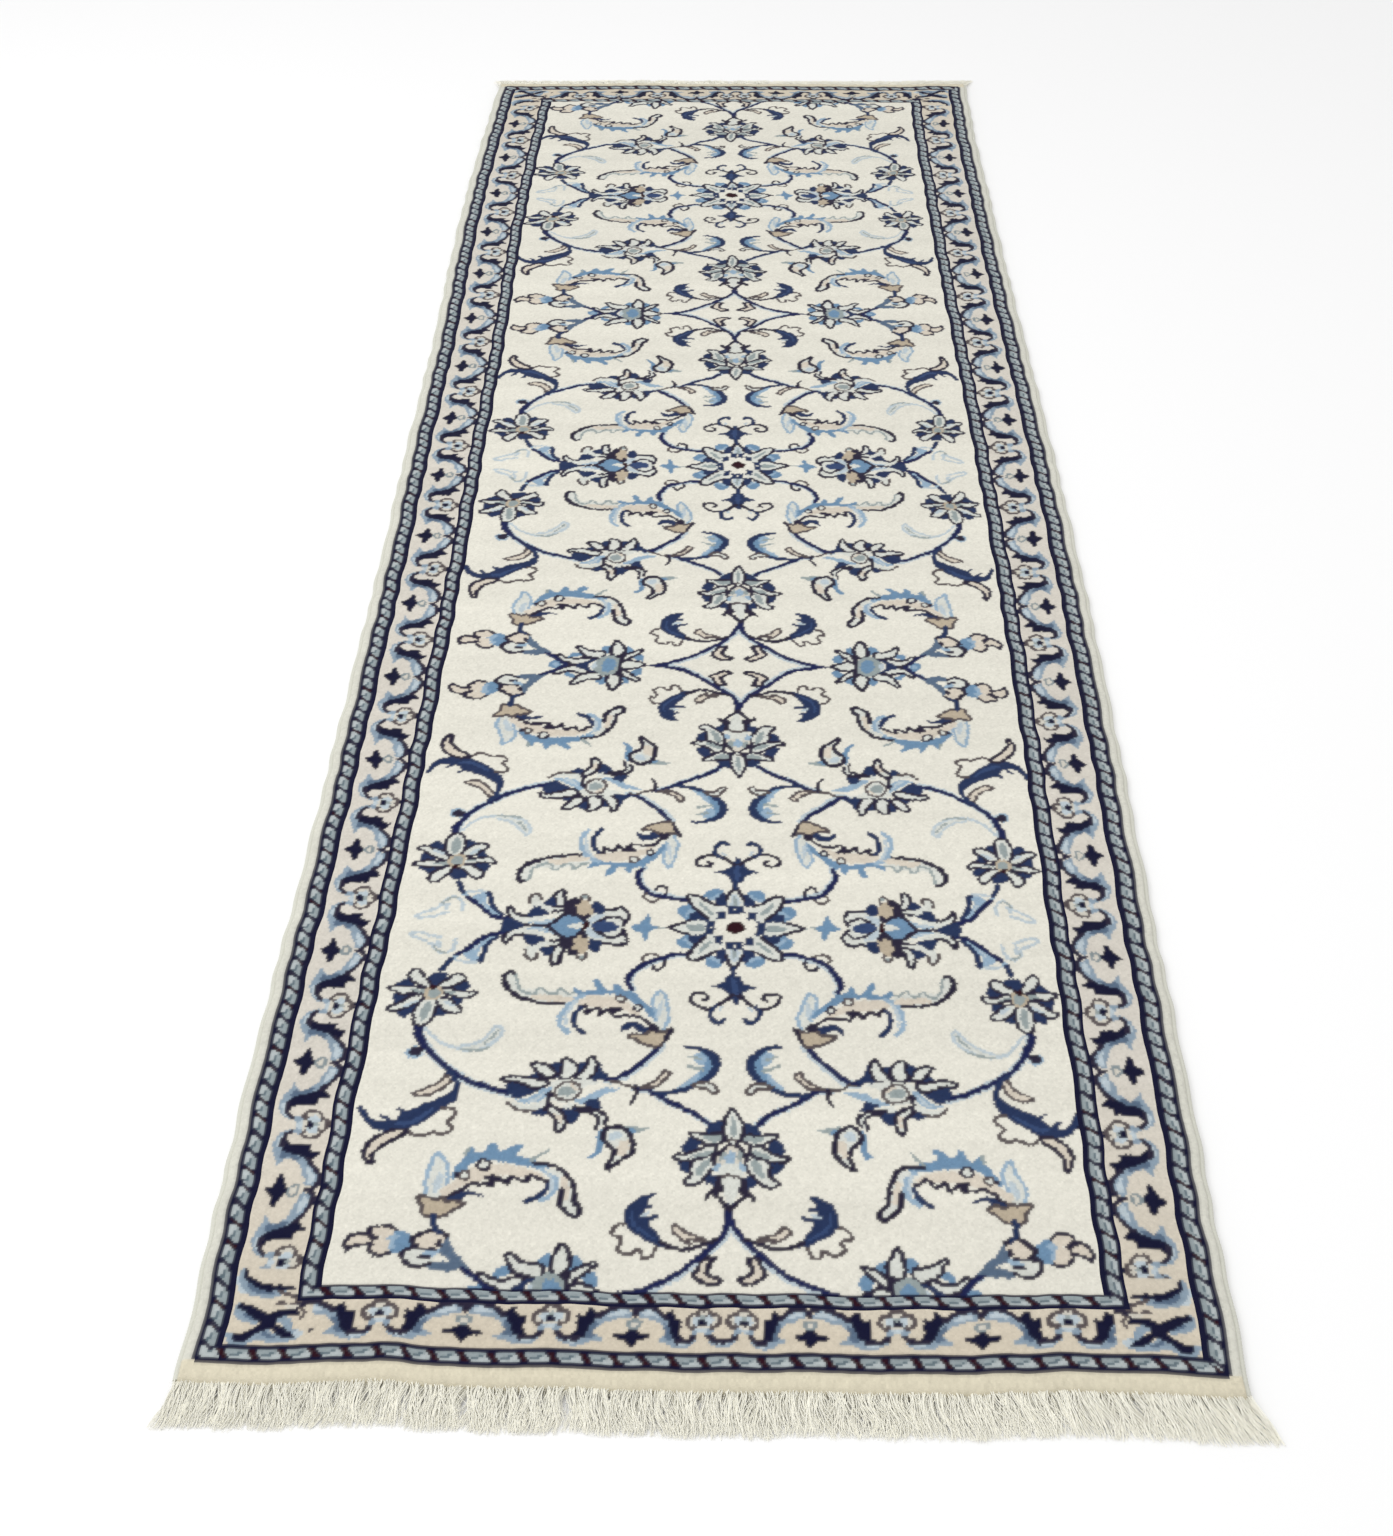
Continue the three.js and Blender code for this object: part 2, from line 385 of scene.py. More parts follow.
def crescent_leaf(c):
    """The faint crescent inside the circle of vine."""
    c.fill("pearl", (844,408, 836,396, 826,386, 812,380, 799,378, 786,381, 775,388, 767,398,
        765,408, 770,414, 776,406, 782,397, 791,389, 804,385, 818,385, 832,394))
    c.line("mist", (3, 3, 3.5, 4, 3.5, 3), (844,408, 836,396, 826,386, 812,380, 799,378, 786,381,
        775,388, 767,398, 765,408, 770,414))
    c.line("mist", 3, (771,413, 777,404, 784,395, 793,388, 806,384))
    c.line("slate", 2, (770,406, 774,398, 782,389))
    c.line("slate", (1, 3, 1.5), (776,384, 790,378.5, 808,379))


def upper_arabesque(c):
    """The feathered leaf inside the circle of vine."""
    c.fill("pearl", (604,468, 598,456, 594,441, 592,426, 597,413, 606,413, 608,428, 609,440,
        612,450, 610,461))
    c.line("sky", 3.2, (597,413, 592,426, 594,441, 598,456, 604,468, 611,460, 612,450, 608,438,
        606,425))
    c.fill("mist", (601,455, 600,438, 604,428, 606,442))
    c.fill("blue", (607,428, 611,441, 620,450, 628,459, 636,467, 646,469, 650,478, 656,476, 658,468,
        667,470, 671,479, 679,484, 679,474, 675,467, 688,465, 701,471, 699,463, 691,458, 680,459,
        665,461, 650,460, 640,455, 630,447, 620,440, 613,430))
    c.line("sky", (6, 7, 6, 6, 5), (690,459, 700,452, 707,441, 711,428, 709,415, 701,406))
    c.line("mist", (3, 3.5, 3), (696,452, 702,442, 705,430, 704,418))
    c.fill("sand", (620,428, 628,438, 636,446, 644,452, 655,457, 668,458, 682,458, 692,453, 695,447,
        688,444, 676,443, 664,441, 650,441, 640,438, 630,432))
    c.ring("umber", 2.8, 648, 455, 5.2)
    c.ring("ink", 2.8, 628, 443, 4.6)
    c.line("ink", (3.5, 3.5, 3), (613,420, 620,427, 630,431, 641,430, 650,428))
    c.fill("ink", (644,441, 654,439, 660,437, 654,430, 650,427, 650,434))
    c.line("ink", 3.6, (646,440, 657,440, 662,436, 667,431, 669,438, 674,440, 680,436, 684,434,
        683,440, 687,444, 692,440))
    c.line("navy", (4, 6, 6.5, 4.5), (690,443, 695,435, 696,425, 694,416))
    c.line("navy", (4, 6, 5), (695,416, 690,410, 685,405))
    c.fill("pearl", (699,460, 708,465, 722,467, 738,469, 750,469, 757,476, 760,487, 765,494,
        772,492, 773,481, 767,467, 757,458, 745,452, 730,449, 712,448, 703,452))
    c.fill("sand", (700,452, 712,450, 730,452, 745,456, 736,462, 716,459, 704,458))
    c.line("slate", 2.4, (700,463, 708,463, 713,469, 717,471, 720,463, 728,463, 733,470, 738,471,
        741,463, 749,463, 756,470, 759,480, 760,489, 765,494))
    c.line("ink", (3, 3.5, 5.5, 6.5, 6, 3), (710,447.5, 728,448, 742,451, 754,457, 764,465, 771,475,
        773,486, 769,494, 763,494))
    c.fill("navy", (613,410, 617,417, 625,421, 636,421, 642,415, 643,406, 638,410, 631,413, 624,409,
        618,406))
    c.fill("tan", (588,413, 595,410, 601,408, 607,411, 613,411, 617,406, 625,404, 635,404, 633,400,
        625,395, 616,390, 608,388, 600,388, 597,393, 593,402), "umber", 3)
    c.line("ink", 4, (588,413, 593,403, 597,393))
    c.fill("ink", (602,411, 604,419, 610,421, 615,415, 611,409))


def comb_curl(c):
    """The blue curl with a comb inside it."""
    c.fill("blue", (541,372, 548,379, 557,382, 556,371, 551,362, 556,353, 563,344, 570,336, 578,328,
        563,331, 551,341, 541,353, 539,362))
    c.fill("sky", (549,374, 557,380, 564,374, 559,364, 553,362, 549,367))
    c.fill("sky", (557,353, 565,343, 574,333, 578,328, 566,334, 556,345))
    c.line("slate", (3.5, 1.5), (556,371, 570,374))
    c.line("slate", (4, 2), (553,356, 571,361))
    c.line("navy", (3, 6, 10, 10, 7.5, 6, 5, 4.5), (573,388, 562,387, 549,382, 540,373, 537,363,
        541,351, 549,342, 560,332, 572,326, 586,323, 601,322))
    c.fill("pearl", (534,328, 539,335, 546,339, 554,338, 562,333, 554,331, 546,331, 541,325,
        537,324), "umber", 2.8)
    c.fill("sand", (587,348, 591,341, 599,333, 608,330, 620,330, 612,334, 603,339, 597,345,
        594,351), "umber", 2.8)
    c.line("ink", (5, 4, 3, 2.5), (626,330, 623,323, 625,315, 629,308))
    c.line("umber", 2.6, (627,330, 637,332, 645,337, 654,338))
    c.fill("sky", (640,328, 655,329, 668,325, 679,317, 690,311, 680,308, 668,314, 655,321))


def big_palmette(c):
    """The flower where the vines meet."""
    for petal in (
        (655,343, 662,352, 667,364, 671,354, 675,345, 679,341, 667,340),
        (678,362, 688,364, 693,356, 697,345, 690,343, 684,350),
        (706,366, 717,365, 718,357, 714,346, 711,342, 707,350),
        (721,352, 729,352, 736,348, 742,344, 735,340, 723,340),
        (727,327, 738,332, 750,336, 757,330, 753,320, 745,313, 737,318),
        (715,305, 722,303, 731,299, 726,292, 718,291, 713,298),
        (679,301, 695,302, 699,296, 696,284, 688,283, 682,290),
        (658,302, 662,309, 664,315, 671,314, 679,309, 672,304, 664,303),
    ):
        c.fill("navy", petal)
    c.fill("pearl", (674,345, 669,360, 673,372, 677,371, 680,362, 686,351, 693,344,
        684,340), "ink", 2.8)
    c.fill("pearl", (693,347, 690,358, 695,366, 702,371, 708,369, 707,360, 709,347,
        702,342), "ink", 2.8)
    c.fill("pearl", (713,346, 717,357, 726,364, 736,364, 733,357, 728,350, 722,344), "ink", 3)
    c.fill("pearl", (718,338, 735,344, 750,345, 761,341, 760,336, 750,337, 738,333,
        726,329), "ink", 2.8)
    c.fill("pearl", (716,322, 720,314, 728,307, 740,305, 751,307, 740,298, 728,299, 716,306))
    c.line("umber", 2.8, (726,299, 738,297, 745,300, 752,307))
    c.fill("sky", (714,331, 722,328, 730,320, 738,314, 748,311, 738,308, 728,309, 720,314, 715,322))
    c.fill("mist", (718,326, 727,317, 736,311, 727,311))
    c.fill("pearl", (714,307, 706,303, 700,297, 696,288, 696,279, 701,271, 706,275, 706,285,
        710,293, 716,300), "ink", 3.6)
    c.fill("sand", (700,292, 699,283, 702,278, 703,286, 707,295))
    c.fill("pearl", (694,309, 681,304, 668,302, 660,297, 656,290, 658,283, 663,278, 664,287,
        663,292, 673,296, 684,299, 698,302))
    c.line("ink", (3, 4, 4, 3), (688,302, 673,302, 661,298, 655,291, 657,283))
    c.line("ink", 2.8, (665,276, 663,286, 664,292, 674,297, 684,298))
    c.fill("pearl", (683,326, 676,333, 664,337, 676,341, 688,341, 702,341, 716,338, 714,330,
        710,322, 712,314, 700,309, 690,312, 684,318))
    c.ring("umber", 3, 697, 325, 13)
    c.fill("slate", (690,322, 698,318, 706,321, 705,330, 697,332, 690,329))
    c.fill("sand", (686,326, 690,333, 698,335, 690,328))
    c.line("ink", (3, 3, 4), (714,304, 715,312, 714,320))
    c.dot("ink", 714, 321, 4)


def hooked_leaf(c):
    """The small leaf that hooks back."""
    c.fill("slate", (608,277, 620,272, 631,270, 640,276, 646,281, 635,281, 622,280))
    c.line("blue", 4, (626,274, 636,277, 645,281))
    c.fill("blue", (659,278, 664,268, 663,256, 665,247, 671,240, 664,240, 658,246, 656,256,
        658,266))
    c.fill("pearl", (628,268, 636,276, 645,278, 653,273, 656,263, 650,256, 645,249, 646,240,
        650,230, 646,225, 640,232, 633,238, 628,244, 626,255))
    c.fill("mist", (639,272, 646,274, 652,269, 650,262, 642,264))
    c.fill("sand", (632,262, 640,262, 642,252, 641,243, 634,244, 631,252))
    c.line("ink", (3.5, 4.5, 5, 5.5, 4, 3.5, 3), (645,280, 635,276, 629,266, 627,255, 629,244,
        636,237, 643,230, 647,225))
    c.line("ink", (4, 4.5, 4.5, 4), (640,280, 649,280, 656,274, 658,265, 653,258, 646,251, 644,242,
        648,234, 650,227))


def dark_comb_leaf(c):
    """The navy leaf with teeth, its bud and scrolls."""
    c.fill("navy", (598,195, 610,193, 621,187, 628,175, 628,162, 622,151, 611,143, 599,136, 584,132,
        590,141, 597,150, 603,159, 606,167, 607,176, 605,184, 601,190))
    c.fill("denim", (612,184, 618,176, 619,165, 613,155, 603,147, 595,141, 607,146, 617,154,
        622,164, 621,175))
    c.line("navy", (5, 4, 3), (617,177, 609,179, 601,179))
    c.line("navy", (5, 4, 3.5), (613,162, 604,165, 594,168))
    c.line("mist", 3, (603,172, 611,169))
    c.line("ink", (4.5, 4, 4, 6), (534,141, 545,138, 556,133, 568,131, 580,133, 592,139))
    c.line("umber", 2.8, (628,158, 635,157, 640,150, 640,145, 633,144, 631,138, 635,132, 630,126,
        622,125, 617,130, 612,129, 611,122, 604,121, 600,126, 597,133))
    c.fill("sand", (546,141, 556,146, 565,149, 570,155, 576,158, 580,151, 574,145, 568,140, 562,137,
        564,142, 557,141), "umber", 2.6)
    c.fill("sand", (539,119, 546,120, 550,115, 553,108, 557,102, 553,97, 546,93, 540,90, 532,90,
        527,94, 536,98, 542,103, 542,110), "ink", 3.4)
    c.line("ink", 5, (537,118, 541,111, 543,104))


def axis_palmette(c):
    """Half of the palmette on the middle line."""
    for petal in (
        (529,286, 536,287, 544,281, 548,275, 545,271, 535,272, 528,274),
        (554,262, 562,268, 569,262, 574,252, 574,248, 567,246, 559,250),
        (559,235, 568,234, 574,233, 573,226, 567,220, 561,220, 559,227),
        (529,215, 536,216, 542,219, 547,212, 545,206, 540,205, 536,200, 531,202),
    ):
        c.fill("navy", petal)
    c.fill("pearl", (528,262, 529,271, 545,271, 557,272, 566,272, 563,266, 556,263, 549,258,
        540,256), "ink", 2.6)
    c.fill("slate", (531,263, 541,260, 549,264, 552,268, 541,269, 532,269))
    c.fill("pearl", (537,254, 545,257, 554,252, 562,246, 571,243, 581,241, 576,236, 567,235,
        557,236, 546,240, 538,244), "ink", 2.8)
    c.fill("slate", (540,250, 548,249, 556,245, 562,240, 552,240, 542,244))
    c.fill("pearl", (538,244, 547,240, 558,236, 561,228, 560,220, 563,214, 569,209, 565,205,
        556,205, 549,210, 542,219, 536,228), "ink", 2.8)
    c.fill("slate", (541,238, 549,235, 553,226, 555,215, 549,217, 543,227))
    c.fill("pearl", (510,300, 519,306, 525,296, 529,283, 529,271, 525,261, 519,257, 510,262))
    c.fill("slate", (515,292, 519,295, 522,285, 522,272, 519,266, 515,270))
    c.line("ink", (3, 3.5, 4, 3), (519,306, 525,296, 529,284, 529,271, 526,262, 521,257))
    c.fill("shell", (512,256, 524,255, 533,247, 536,238, 530,230, 519,228, 512,232))
    c.fill("sky", (512,250, 522,247, 525,238, 519,229, 512,230))
    c.fill("slate", (526,248, 531,242, 531,235, 526,238))
    c.dot("umber", 519, 260, 5)
    c.dot("pearl", 519, 260, 3)
    c.line("ink", (3, 4.5), (522,257, 529,250, 534,243, 538,237))
    c.fill("pearl", (512,232, 522,232, 531,229, 534,221, 528,214, 519,217, 512,217))
    c.line("umber", 3, (519,217, 526,216, 531,212))
    c.fill("sky", (528,233, 535,231, 537,225, 532,222, 529,228))
    c.line("ink", (6, 5, 4), (532,213, 532,204, 535,199))
    c.line("ink", (4, 6), (534,200, 540,194, 543,190))
    c.fill("pearl", (512,214, 527,213, 529,204, 526,194, 519,180, 512,190))
    c.line("ink", (4, 4, 3.5, 4, 5), (531,213, 532,205, 528,198, 535,193, 529,187, 525,181,
        519,175))


def lower_arabesque(c):
    """The feathered leaf outside the circle of vine."""
    c.fill("pearl", (804,197, 802,212, 803,226, 808,236, 815,242, 817,230, 821,218, 824,205,
        822,190, 812,186))
    c.line("sky", 3.2, (806,195, 803,210, 803,226, 808,236, 815,242, 817,230, 821,218, 824,205,
        822,192))
    c.fill("mist", (807,215, 809,200, 814,192, 817,200, 812,215))
    c.fill("blue", (696,214, 702,222, 712,229, 722,236, 731,239, 738,243, 732,252, 736,255, 743,251,
        750,245, 756,247, 758,254, 764,252, 768,243, 776,240, 780,248, 786,247, 787,237, 793,228,
        800,215, 796,210, 789,218, 780,226, 768,231, 754,231, 738,229, 722,226, 710,220, 702,210))
    c.line("slate", (2, 4), (710,247, 717,240, 722,235))
    c.line("slate", (2.5, 4), (783,248, 785,240))
    c.line("sky", (6, 6, 6, 5), (714,224, 704,218, 700,207, 701,196, 707,188, 714,183))
    c.line("mist", 3, (708,218, 704,208, 705,197))
    c.fill("sand", (711,214, 722,222, 735,227, 752,228, 766,227, 779,222, 790,215, 800,206, 810,195,
        804,190, 796,198, 784,205, 772,207, 758,213, 742,214, 728,214, 718,212))
    c.ring("ink", 3, 767, 226, 6)
    c.ring("umber", 2.8, 787, 215, 5)
    c.dot("ink", 795, 215, 3)
    c.line("navy", (6.5, 6, 5, 4), (726,182, 718,187, 712,194, 708,204))
    c.line("ink", 3.6, (709,208, 716,211, 722,215, 727,214, 728,208, 734,209, 741,214, 744,208,
        745,203, 750,208, 757,212, 766,211))
    c.fill("ink", (755,212, 763,210, 763,201, 758,200))
    c.line("ink", 3.6, (762,203, 771,203, 781,203, 790,198, 798,191, 804,187))
    c.fill("pearl", (704,224, 695,220, 688,211, 684,200, 682,188, 675,178, 671,169, 678,165,
        687,171, 693,180, 695,192, 694,204, 699,214, 710,222))
    c.fill("sand", (690,212, 686,198, 684,186, 690,184, 692,198, 695,210))
    c.line("ink", (3, 4, 4.5, 5, 5), (722,231, 709,230, 698,226, 690,217, 683,206, 680,194, 679,183,
        673,177, 671,169))
    c.line("ink", (5, 4, 5.5, 5.5), (671,169, 677,165, 686,171, 693,180, 694,197))
    c.fill("navy", (766,188, 776,194, 787,195, 796,190, 803,187, 798,182, 790,185, 780,190))
    c.fill("tan", (784,180, 793,184, 801,183, 807,188, 813,185, 820,188, 829,187, 826,180, 822,174,
        822,166, 815,163, 808,164, 801,166, 794,172, 788,176), "umber", 3)


def forked_leaf(c):
    """The navy leaf that forks by the border."""
    c.line("umber", 2.6, (818,351, 821,343, 824,335))
    c.fill("sand", (812,346, 820,342, 826,333, 836,326, 848,320, 840,316, 831,317, 822,324,
        815,334), "umber", 2.4)
    c.fill("navy", (806,332, 811,322, 818,315, 827,309, 837,304, 846,299, 853,295, 857,289, 862,284,
        870,283, 876,284, 882,290, 888,301, 891,297, 888,286, 881,276, 872,271, 860,270, 848,272,
        838,278, 826,288, 815,298, 806,308, 803,318))
    c.fill("denim", (822,300, 832,294, 842,287, 850,283, 860,281, 852,277, 842,280, 830,290))
    c.line("navy", (5, 4, 2.5), (849,289, 853,296, 858,300))
    c.line("navy", (5, 3, 2.5), (864,281, 868,288, 872,291))
    c.line("navy", (4, 6, 4), (880,279, 886,289, 890,301))
    c.line("navy", (5, 6, 8), (820,352, 812,344, 808,335, 806,325, 808,315))
    c.line("umber", 3, (816,299, 806,298, 802,292, 806,285, 810,280, 805,275, 805,270, 813,266,
        822,268, 828,265, 836,262, 843,265, 847,270))
    c.fill("sand", (848,270, 858,271, 868,266, 876,258, 880,247, 879,236, 875,227, 871,229, 872,238,
        868,247, 861,256, 852,263), "ink", 3.6)


def crossing_palmette(c):
    """Half of the palmette that the turn of the chart completes."""
    c.fill("blue", (652,86, 660,88, 665,95, 659,102, 653,100, 650,93))
    c.fill("blue", (664,104, 671,103, 677,104, 675,112, 676,119, 668,115))
    c.fill("blue", (698,104, 704,105, 711,109, 707,118, 700,120, 697,112))
    c.fill("blue", (732,101, 738,97, 747,94, 746,102, 739,107, 733,105))
    c.dot("blue", 762, 78, 8)
    c.dot("sky", 760, 78, 4)
    c.fill("pearl", (646,78, 657,84, 669,88, 679,84, 682,78, 679,70, 655,70))
    c.line("ink", 3.2, (648,79, 657,84, 669,88, 679,85))
    c.fill("pearl", (679,86, 669,94, 659,104, 653,110, 656,113, 666,108, 677,99), "ink", 3.2)
    c.fill("pearl", (683,98, 678,109, 680,119, 687,131, 691,129, 695,119, 697,109,
        694,98), "ink", 4)
    c.fill("pearl", (708,94, 722,96, 731,101, 736,111, 740,119, 735,121, 729,115, 719,110,
        705,107), "ink", 3)
    c.fill("pearl", (722,86, 737,80, 748,84, 757,91, 761,99, 755,99, 748,93, 737,92,
        724,96), "ink", 3)
    c.fill("slate", (683,70, 683,88, 690,97, 700,100, 709,95, 716,86, 718,70))
    c.fill("blue", (688,70, 688,85, 695,92, 703,90, 706,80, 706,70))
    c.fill("mist", (712,76, 716,86, 720,76))
    c.line("ink", 4.2, (681,74, 681,90, 684,99))
    c.fill("navy", (738,78, 728,86, 719,91, 711,93, 718,87, 722,80, 722,72))
    c.line("ink", 3, (737,78, 750,78))


def border_bud(c):
    """The tan bud by the border, with its stem."""
    c.line("vine", (4.5, 5, 6.5), BUD_STEM)
    c.fill("steel", (768,102, 777,113, 787,124, 793,135, 796,145, 802,142, 800,132, 800,122,
        793,115, 783,108))
    c.fill("steel", (777,104, 784,109, 795,110.5, 806,107.5, 812,104, 805,101, 792,99, 783,100))
    c.fill("blue", (826,135, 833,141, 843,144, 849,138, 853,130, 849,121, 839,116, 831,115,
        828,124))
    c.fill("sky", (838,137, 846,140, 852,131, 847,122, 840,122, 843,130))
    c.fill("sand", (843,145, 851,151, 860,151, 866,148, 865,140, 858,137, 849,136))
    c.line("ink", 3, (843,145, 851,151, 860,150, 866,148, 865,140, 859,136))
    c.fill("sand", (848,133, 858,134, 863,127, 860,118, 853,113, 844,116, 847,124))
    c.line("ink", 3, (861,136, 864,127, 861,118, 853,113, 844,116))
    c.fill("sand", (864,135, 872,141, 880,137, 884,128, 881,120, 872,126, 864,127))
    c.line("ink", 3.2, (863,136, 872,141, 880,137, 884,128, 881,119))
    c.line("ink", 3, (862,127, 872,126, 880,122))
    c.fill("sand", (798,140, 806,146, 815,143, 822,137, 824,128, 815,122, 804,123, 799,131))
    c.line("ink", (4, 4.5, 4.5, 4), (797,141, 806,147, 815,144, 822,138, 827,133, 824,126, 815,121,
        806,123))
    c.fill("pearl", (800,120, 812,121, 824,121, 832,116, 830,109, 823,103, 814,103, 806,107))
    c.line("ink", (4, 4.5, 3.5, 3), (824,124, 832,118, 831,110, 824,103, 814,102, 806,106))
    c.fill("sky", (799,122, 808,121, 814,117, 806,114))
    c.fill("ink", (800,135, 805,134, 804,127, 800,127))
    c.line("ink", 3.6, (807,113, 815,113))
    c.line("navy", (5, 7, 7), (804,144, 810,151, 811,159, 811,166))


MOTIFS = (vines, rosette, anchor, arrow, side_palmette, pale_leaf, side_flower, crescent_leaf,
    upper_arabesque, comb_curl, big_palmette, hooked_leaf, dark_comb_leaf, axis_palmette,
    lower_arabesque, forked_leaf, crossing_palmette, border_bud)


def draw_field():
    """A quarter of the field, from the big rosette to the crossing palmette."""
    c = Chart((505, 66), (935, 580), 2, "ivory")
    for motif in MOTIFS:
        motif(c)
    return c


def draw_border(bold):
    """Half a repeat of the main border, from a flower at y 275 to a star at y 358.5.

    The rug's outside is on the left.
    """
    c = Chart((20, 262), (90, 372), 3, "border", bold)
    c.fill("haze", (47,280, 38,283, 31,290, 28,300, 30,310, 35,318, 38,330, 43,323, 49,319, 56,323,
        63,329, 65,338, 69,346, 71,355, 79,352, 82,343, 79,333, 71,324, 62,317, 49,312, 41,306,
        36,299, 38,290, 46,285))
    c.fill("steel", (39,312, 44,310, 56,315, 63,321, 56,322, 49,318, 42,320))
    c.fill("mist", (70,330, 77,338, 80,346, 75,352, 72,344))
    c.fill("mist", (31,300, 33,292, 38,287, 35,295, 34,304))
    c.fill("night", (36,294, 37,304, 44,311, 57,315, 66,320, 71,326, 76,320, 82,312, 74,310, 69,306,
        71,301, 61,300, 51,301, 44,298, 40,293))
    c.line("ink", (5, 5, 5.5, 6.5), (48,283, 42,286, 38,293, 38,303))
    c.line("ink", (6.5, 5, 5, 4.6, 4.4, 4.2), (70,322, 78,330, 83,340, 84,349, 80,356, 72,359))
    c.fill("night", (44,378, 48,374, 48,369, 52,364, 55,358.5, 51,353, 48,348, 47,341, 43,339,
        40,344, 39,350, 34,354, 29,358.5, 34,363, 39,367, 39,372, 40,377))
    c.line("pewter", 3, (55,357, 60,352, 65,354, 64,361, 58,363))
    c.dot("shell", 60, 357.5, 2.4)
    c.fill("haze", (46,284, 56,287, 61,283, 58,275, 61,267, 55,263, 47,266, 52,275))
    c.fill("mist", (50,275, 55,281, 58,275, 55,269))
    c.fill("shell", (57,285, 61,290, 67,292, 73,290, 77,285, 81,280, 85,276, 85,270, 77,262, 70,257,
        60,262, 57,270))
    c.line("umber", (3.6, 3.8, 3.6, 3.2), (57,286, 61,291, 67,292, 73,290.5, 77,285, 75,281))
    c.line("umber", 3.4, (77,284, 81,281, 84,277, 80,274.5))
    c.line("umber", 3.2, (57,285, 63,282))
    c.fill("mist", (60,280, 66,286, 72,285, 74,279, 68,277))
    c.dot("night", 64.5, 275, 5)
    c.dot("slate", 71, 275, 3)
    return c


def draw_corner():
    """The crossed leaves in the main border's corner, and the side's last leaf before them."""
    c = Chart((20, 12), (124, 112), 3, "border")
    c.fill("haze", (26,100, 30,98, 32,89, 44,83, 54,77, 66,76, 76,75, 68,70, 56,67, 45,69, 35,72,
        29,78, 25,88))
    c.fill("steel", (34,86, 42,80, 52,76, 64,74, 56,71, 44,73, 36,78))
    c.fill("mist", (24,92, 27,80, 33,73, 28,72, 23,82))
    c.line("night", (4, 5, 6, 6, 7, 6, 4, 2), (31,98, 33,90, 40,86, 48,81, 56,79, 66,79, 76,79,
        83,78))
    c.fill("night", (50,80, 58,84, 63,81, 69,84, 71,80, 66,76, 54,76))
    c.line("umber", 2.8, (68,75, 78,71, 86,67, 87,62, 80,60))
    c.line("umber", 2.6, (66,61, 72,63, 75,60))
    c.line("umber", 2.4, (86,57, 93,55, 96,51, 92,45))
    c.fill("haze", (27,61, 25,52, 29,45, 38,41, 49,39, 53,44, 47,49, 40,55, 34,61))
    c.fill("steel", (33,49, 40,45, 48,43, 46,47, 38,51))
    c.fill("haze", (23,30, 25,20, 34,17, 46,18, 56,22, 66,20, 80,20, 92,22, 96,28, 88,31, 78,28,
        68,30, 60,35, 52,30, 44,24, 33,28))
    c.fill("haze", (76,48, 84,44, 86,36, 92,31, 84,31, 76,38, 70,43))
    c.fill("steel", (58,27, 66,24, 74,23, 66,29, 58,32))
    c.fill("mist", (86,27, 94,24, 99,28, 92,33))
    c.line("night", (6, 9, 10, 11, 11, 9, 7, 5), (30,58, 38,56, 45,52, 53,47, 60,45, 68,49, 76,51,
        88,51))
    c.line("night", (10, 10, 8, 8, 10, 10), (35,25, 41,25, 48,30, 55,35, 61,40, 65,45))
    c.line("night", (6, 9, 9, 5), (66,37, 73,33, 79,29, 87,26))
    c.line("ink", (4, 5, 5, 6), (84,57, 94,61, 105,62, 118,59))
    c.fill("shell", (74,59, 82,55, 90,58, 84,61))
    return c


# ------------------------------------------------------------------ the chart laid over the rug
FIELD, CORNER = draw_field(), draw_corner()
BORDER_SIDE, BORDER_END = draw_border(0.76), draw_border(1.08)
# The chart counts in thousandths of the outer guard's width, from the guard's front left corner.
UNIT_X, UNIT_Y = 0.7702, 0.7705
CHART_WIDTH, CHART_LENGTH = 1000.0, 3056.0
MIDDLE_X, MIDDLE_Y = 500, 1500
# One quarter is drawn; it turns over at each of these lines across the rug.
TURNS_AT = (78, 567, 1056, 1555, 2045, 2520, 2990)
TURNS_TO = (78, 567, 78, 567, 78, 567, 78)
# The field's middle line wanders from repeat to repeat, and the left half is woven a little wider.
AXIS_AT, AXIS_X, AXIS_DRAWN = (0, 567, 1555, 2520, 3056), (519, 519, 514, 509, 507), 519
WIDE_AT = (0, 110, 200, 252, 304, 348, 400, 420)
WIDE_TO = (0, 110, 196, 240, 288, 327, 369, 385)
# Where the dyed bands and the field begin, from the guard's edge in.
SIDE_EDGES, END_EDGES = (-2.5, 22, 85.5, 110.5), (-1.5, 16, 65.5, 81)
# The ropes of the guards on the sides and at the ends: length of a turn, length of the dark gap,
# how far a turn leans, and the dark edges outside and inside as shares of the width.
SIDE_ROPE, END_ROPE = (22.4, 5.2, 20.0, 0.24, 0.3), (29.3, 8.6, 14.0, 0.23, 0.2)
# The main border's drawing: its outer edge, its width, its first flower and half a repeat. Then
# half a repeat as it is woven on the sides and at the ends.
BORDER_X, BORDER_WIDE, BORDER_STARTS, BORDER_HALF = 22, 64, 275, 83.5
SIDE_HALF, END_HALF = 83.45, 85
SIDE_FIRST, END_FIRST = 109, 171  # the first flower from the front and from the left
TWIN_X, TWIN_APART = 511, 21  # two flowers stand close together in the middle of each end
# The corner's own drawing reaches this far along the front, up the side, and up the front's part.
CORNER_X, CORNER_Y, CORNER_END = 103, 100, 66


def scatter(k):
    """An even spread of values from -0.5 to 0.5 for whole numbers, the same at each run."""
    return (np.sin(k * 12.9898) * 43758.5453) % 1 - 0.5


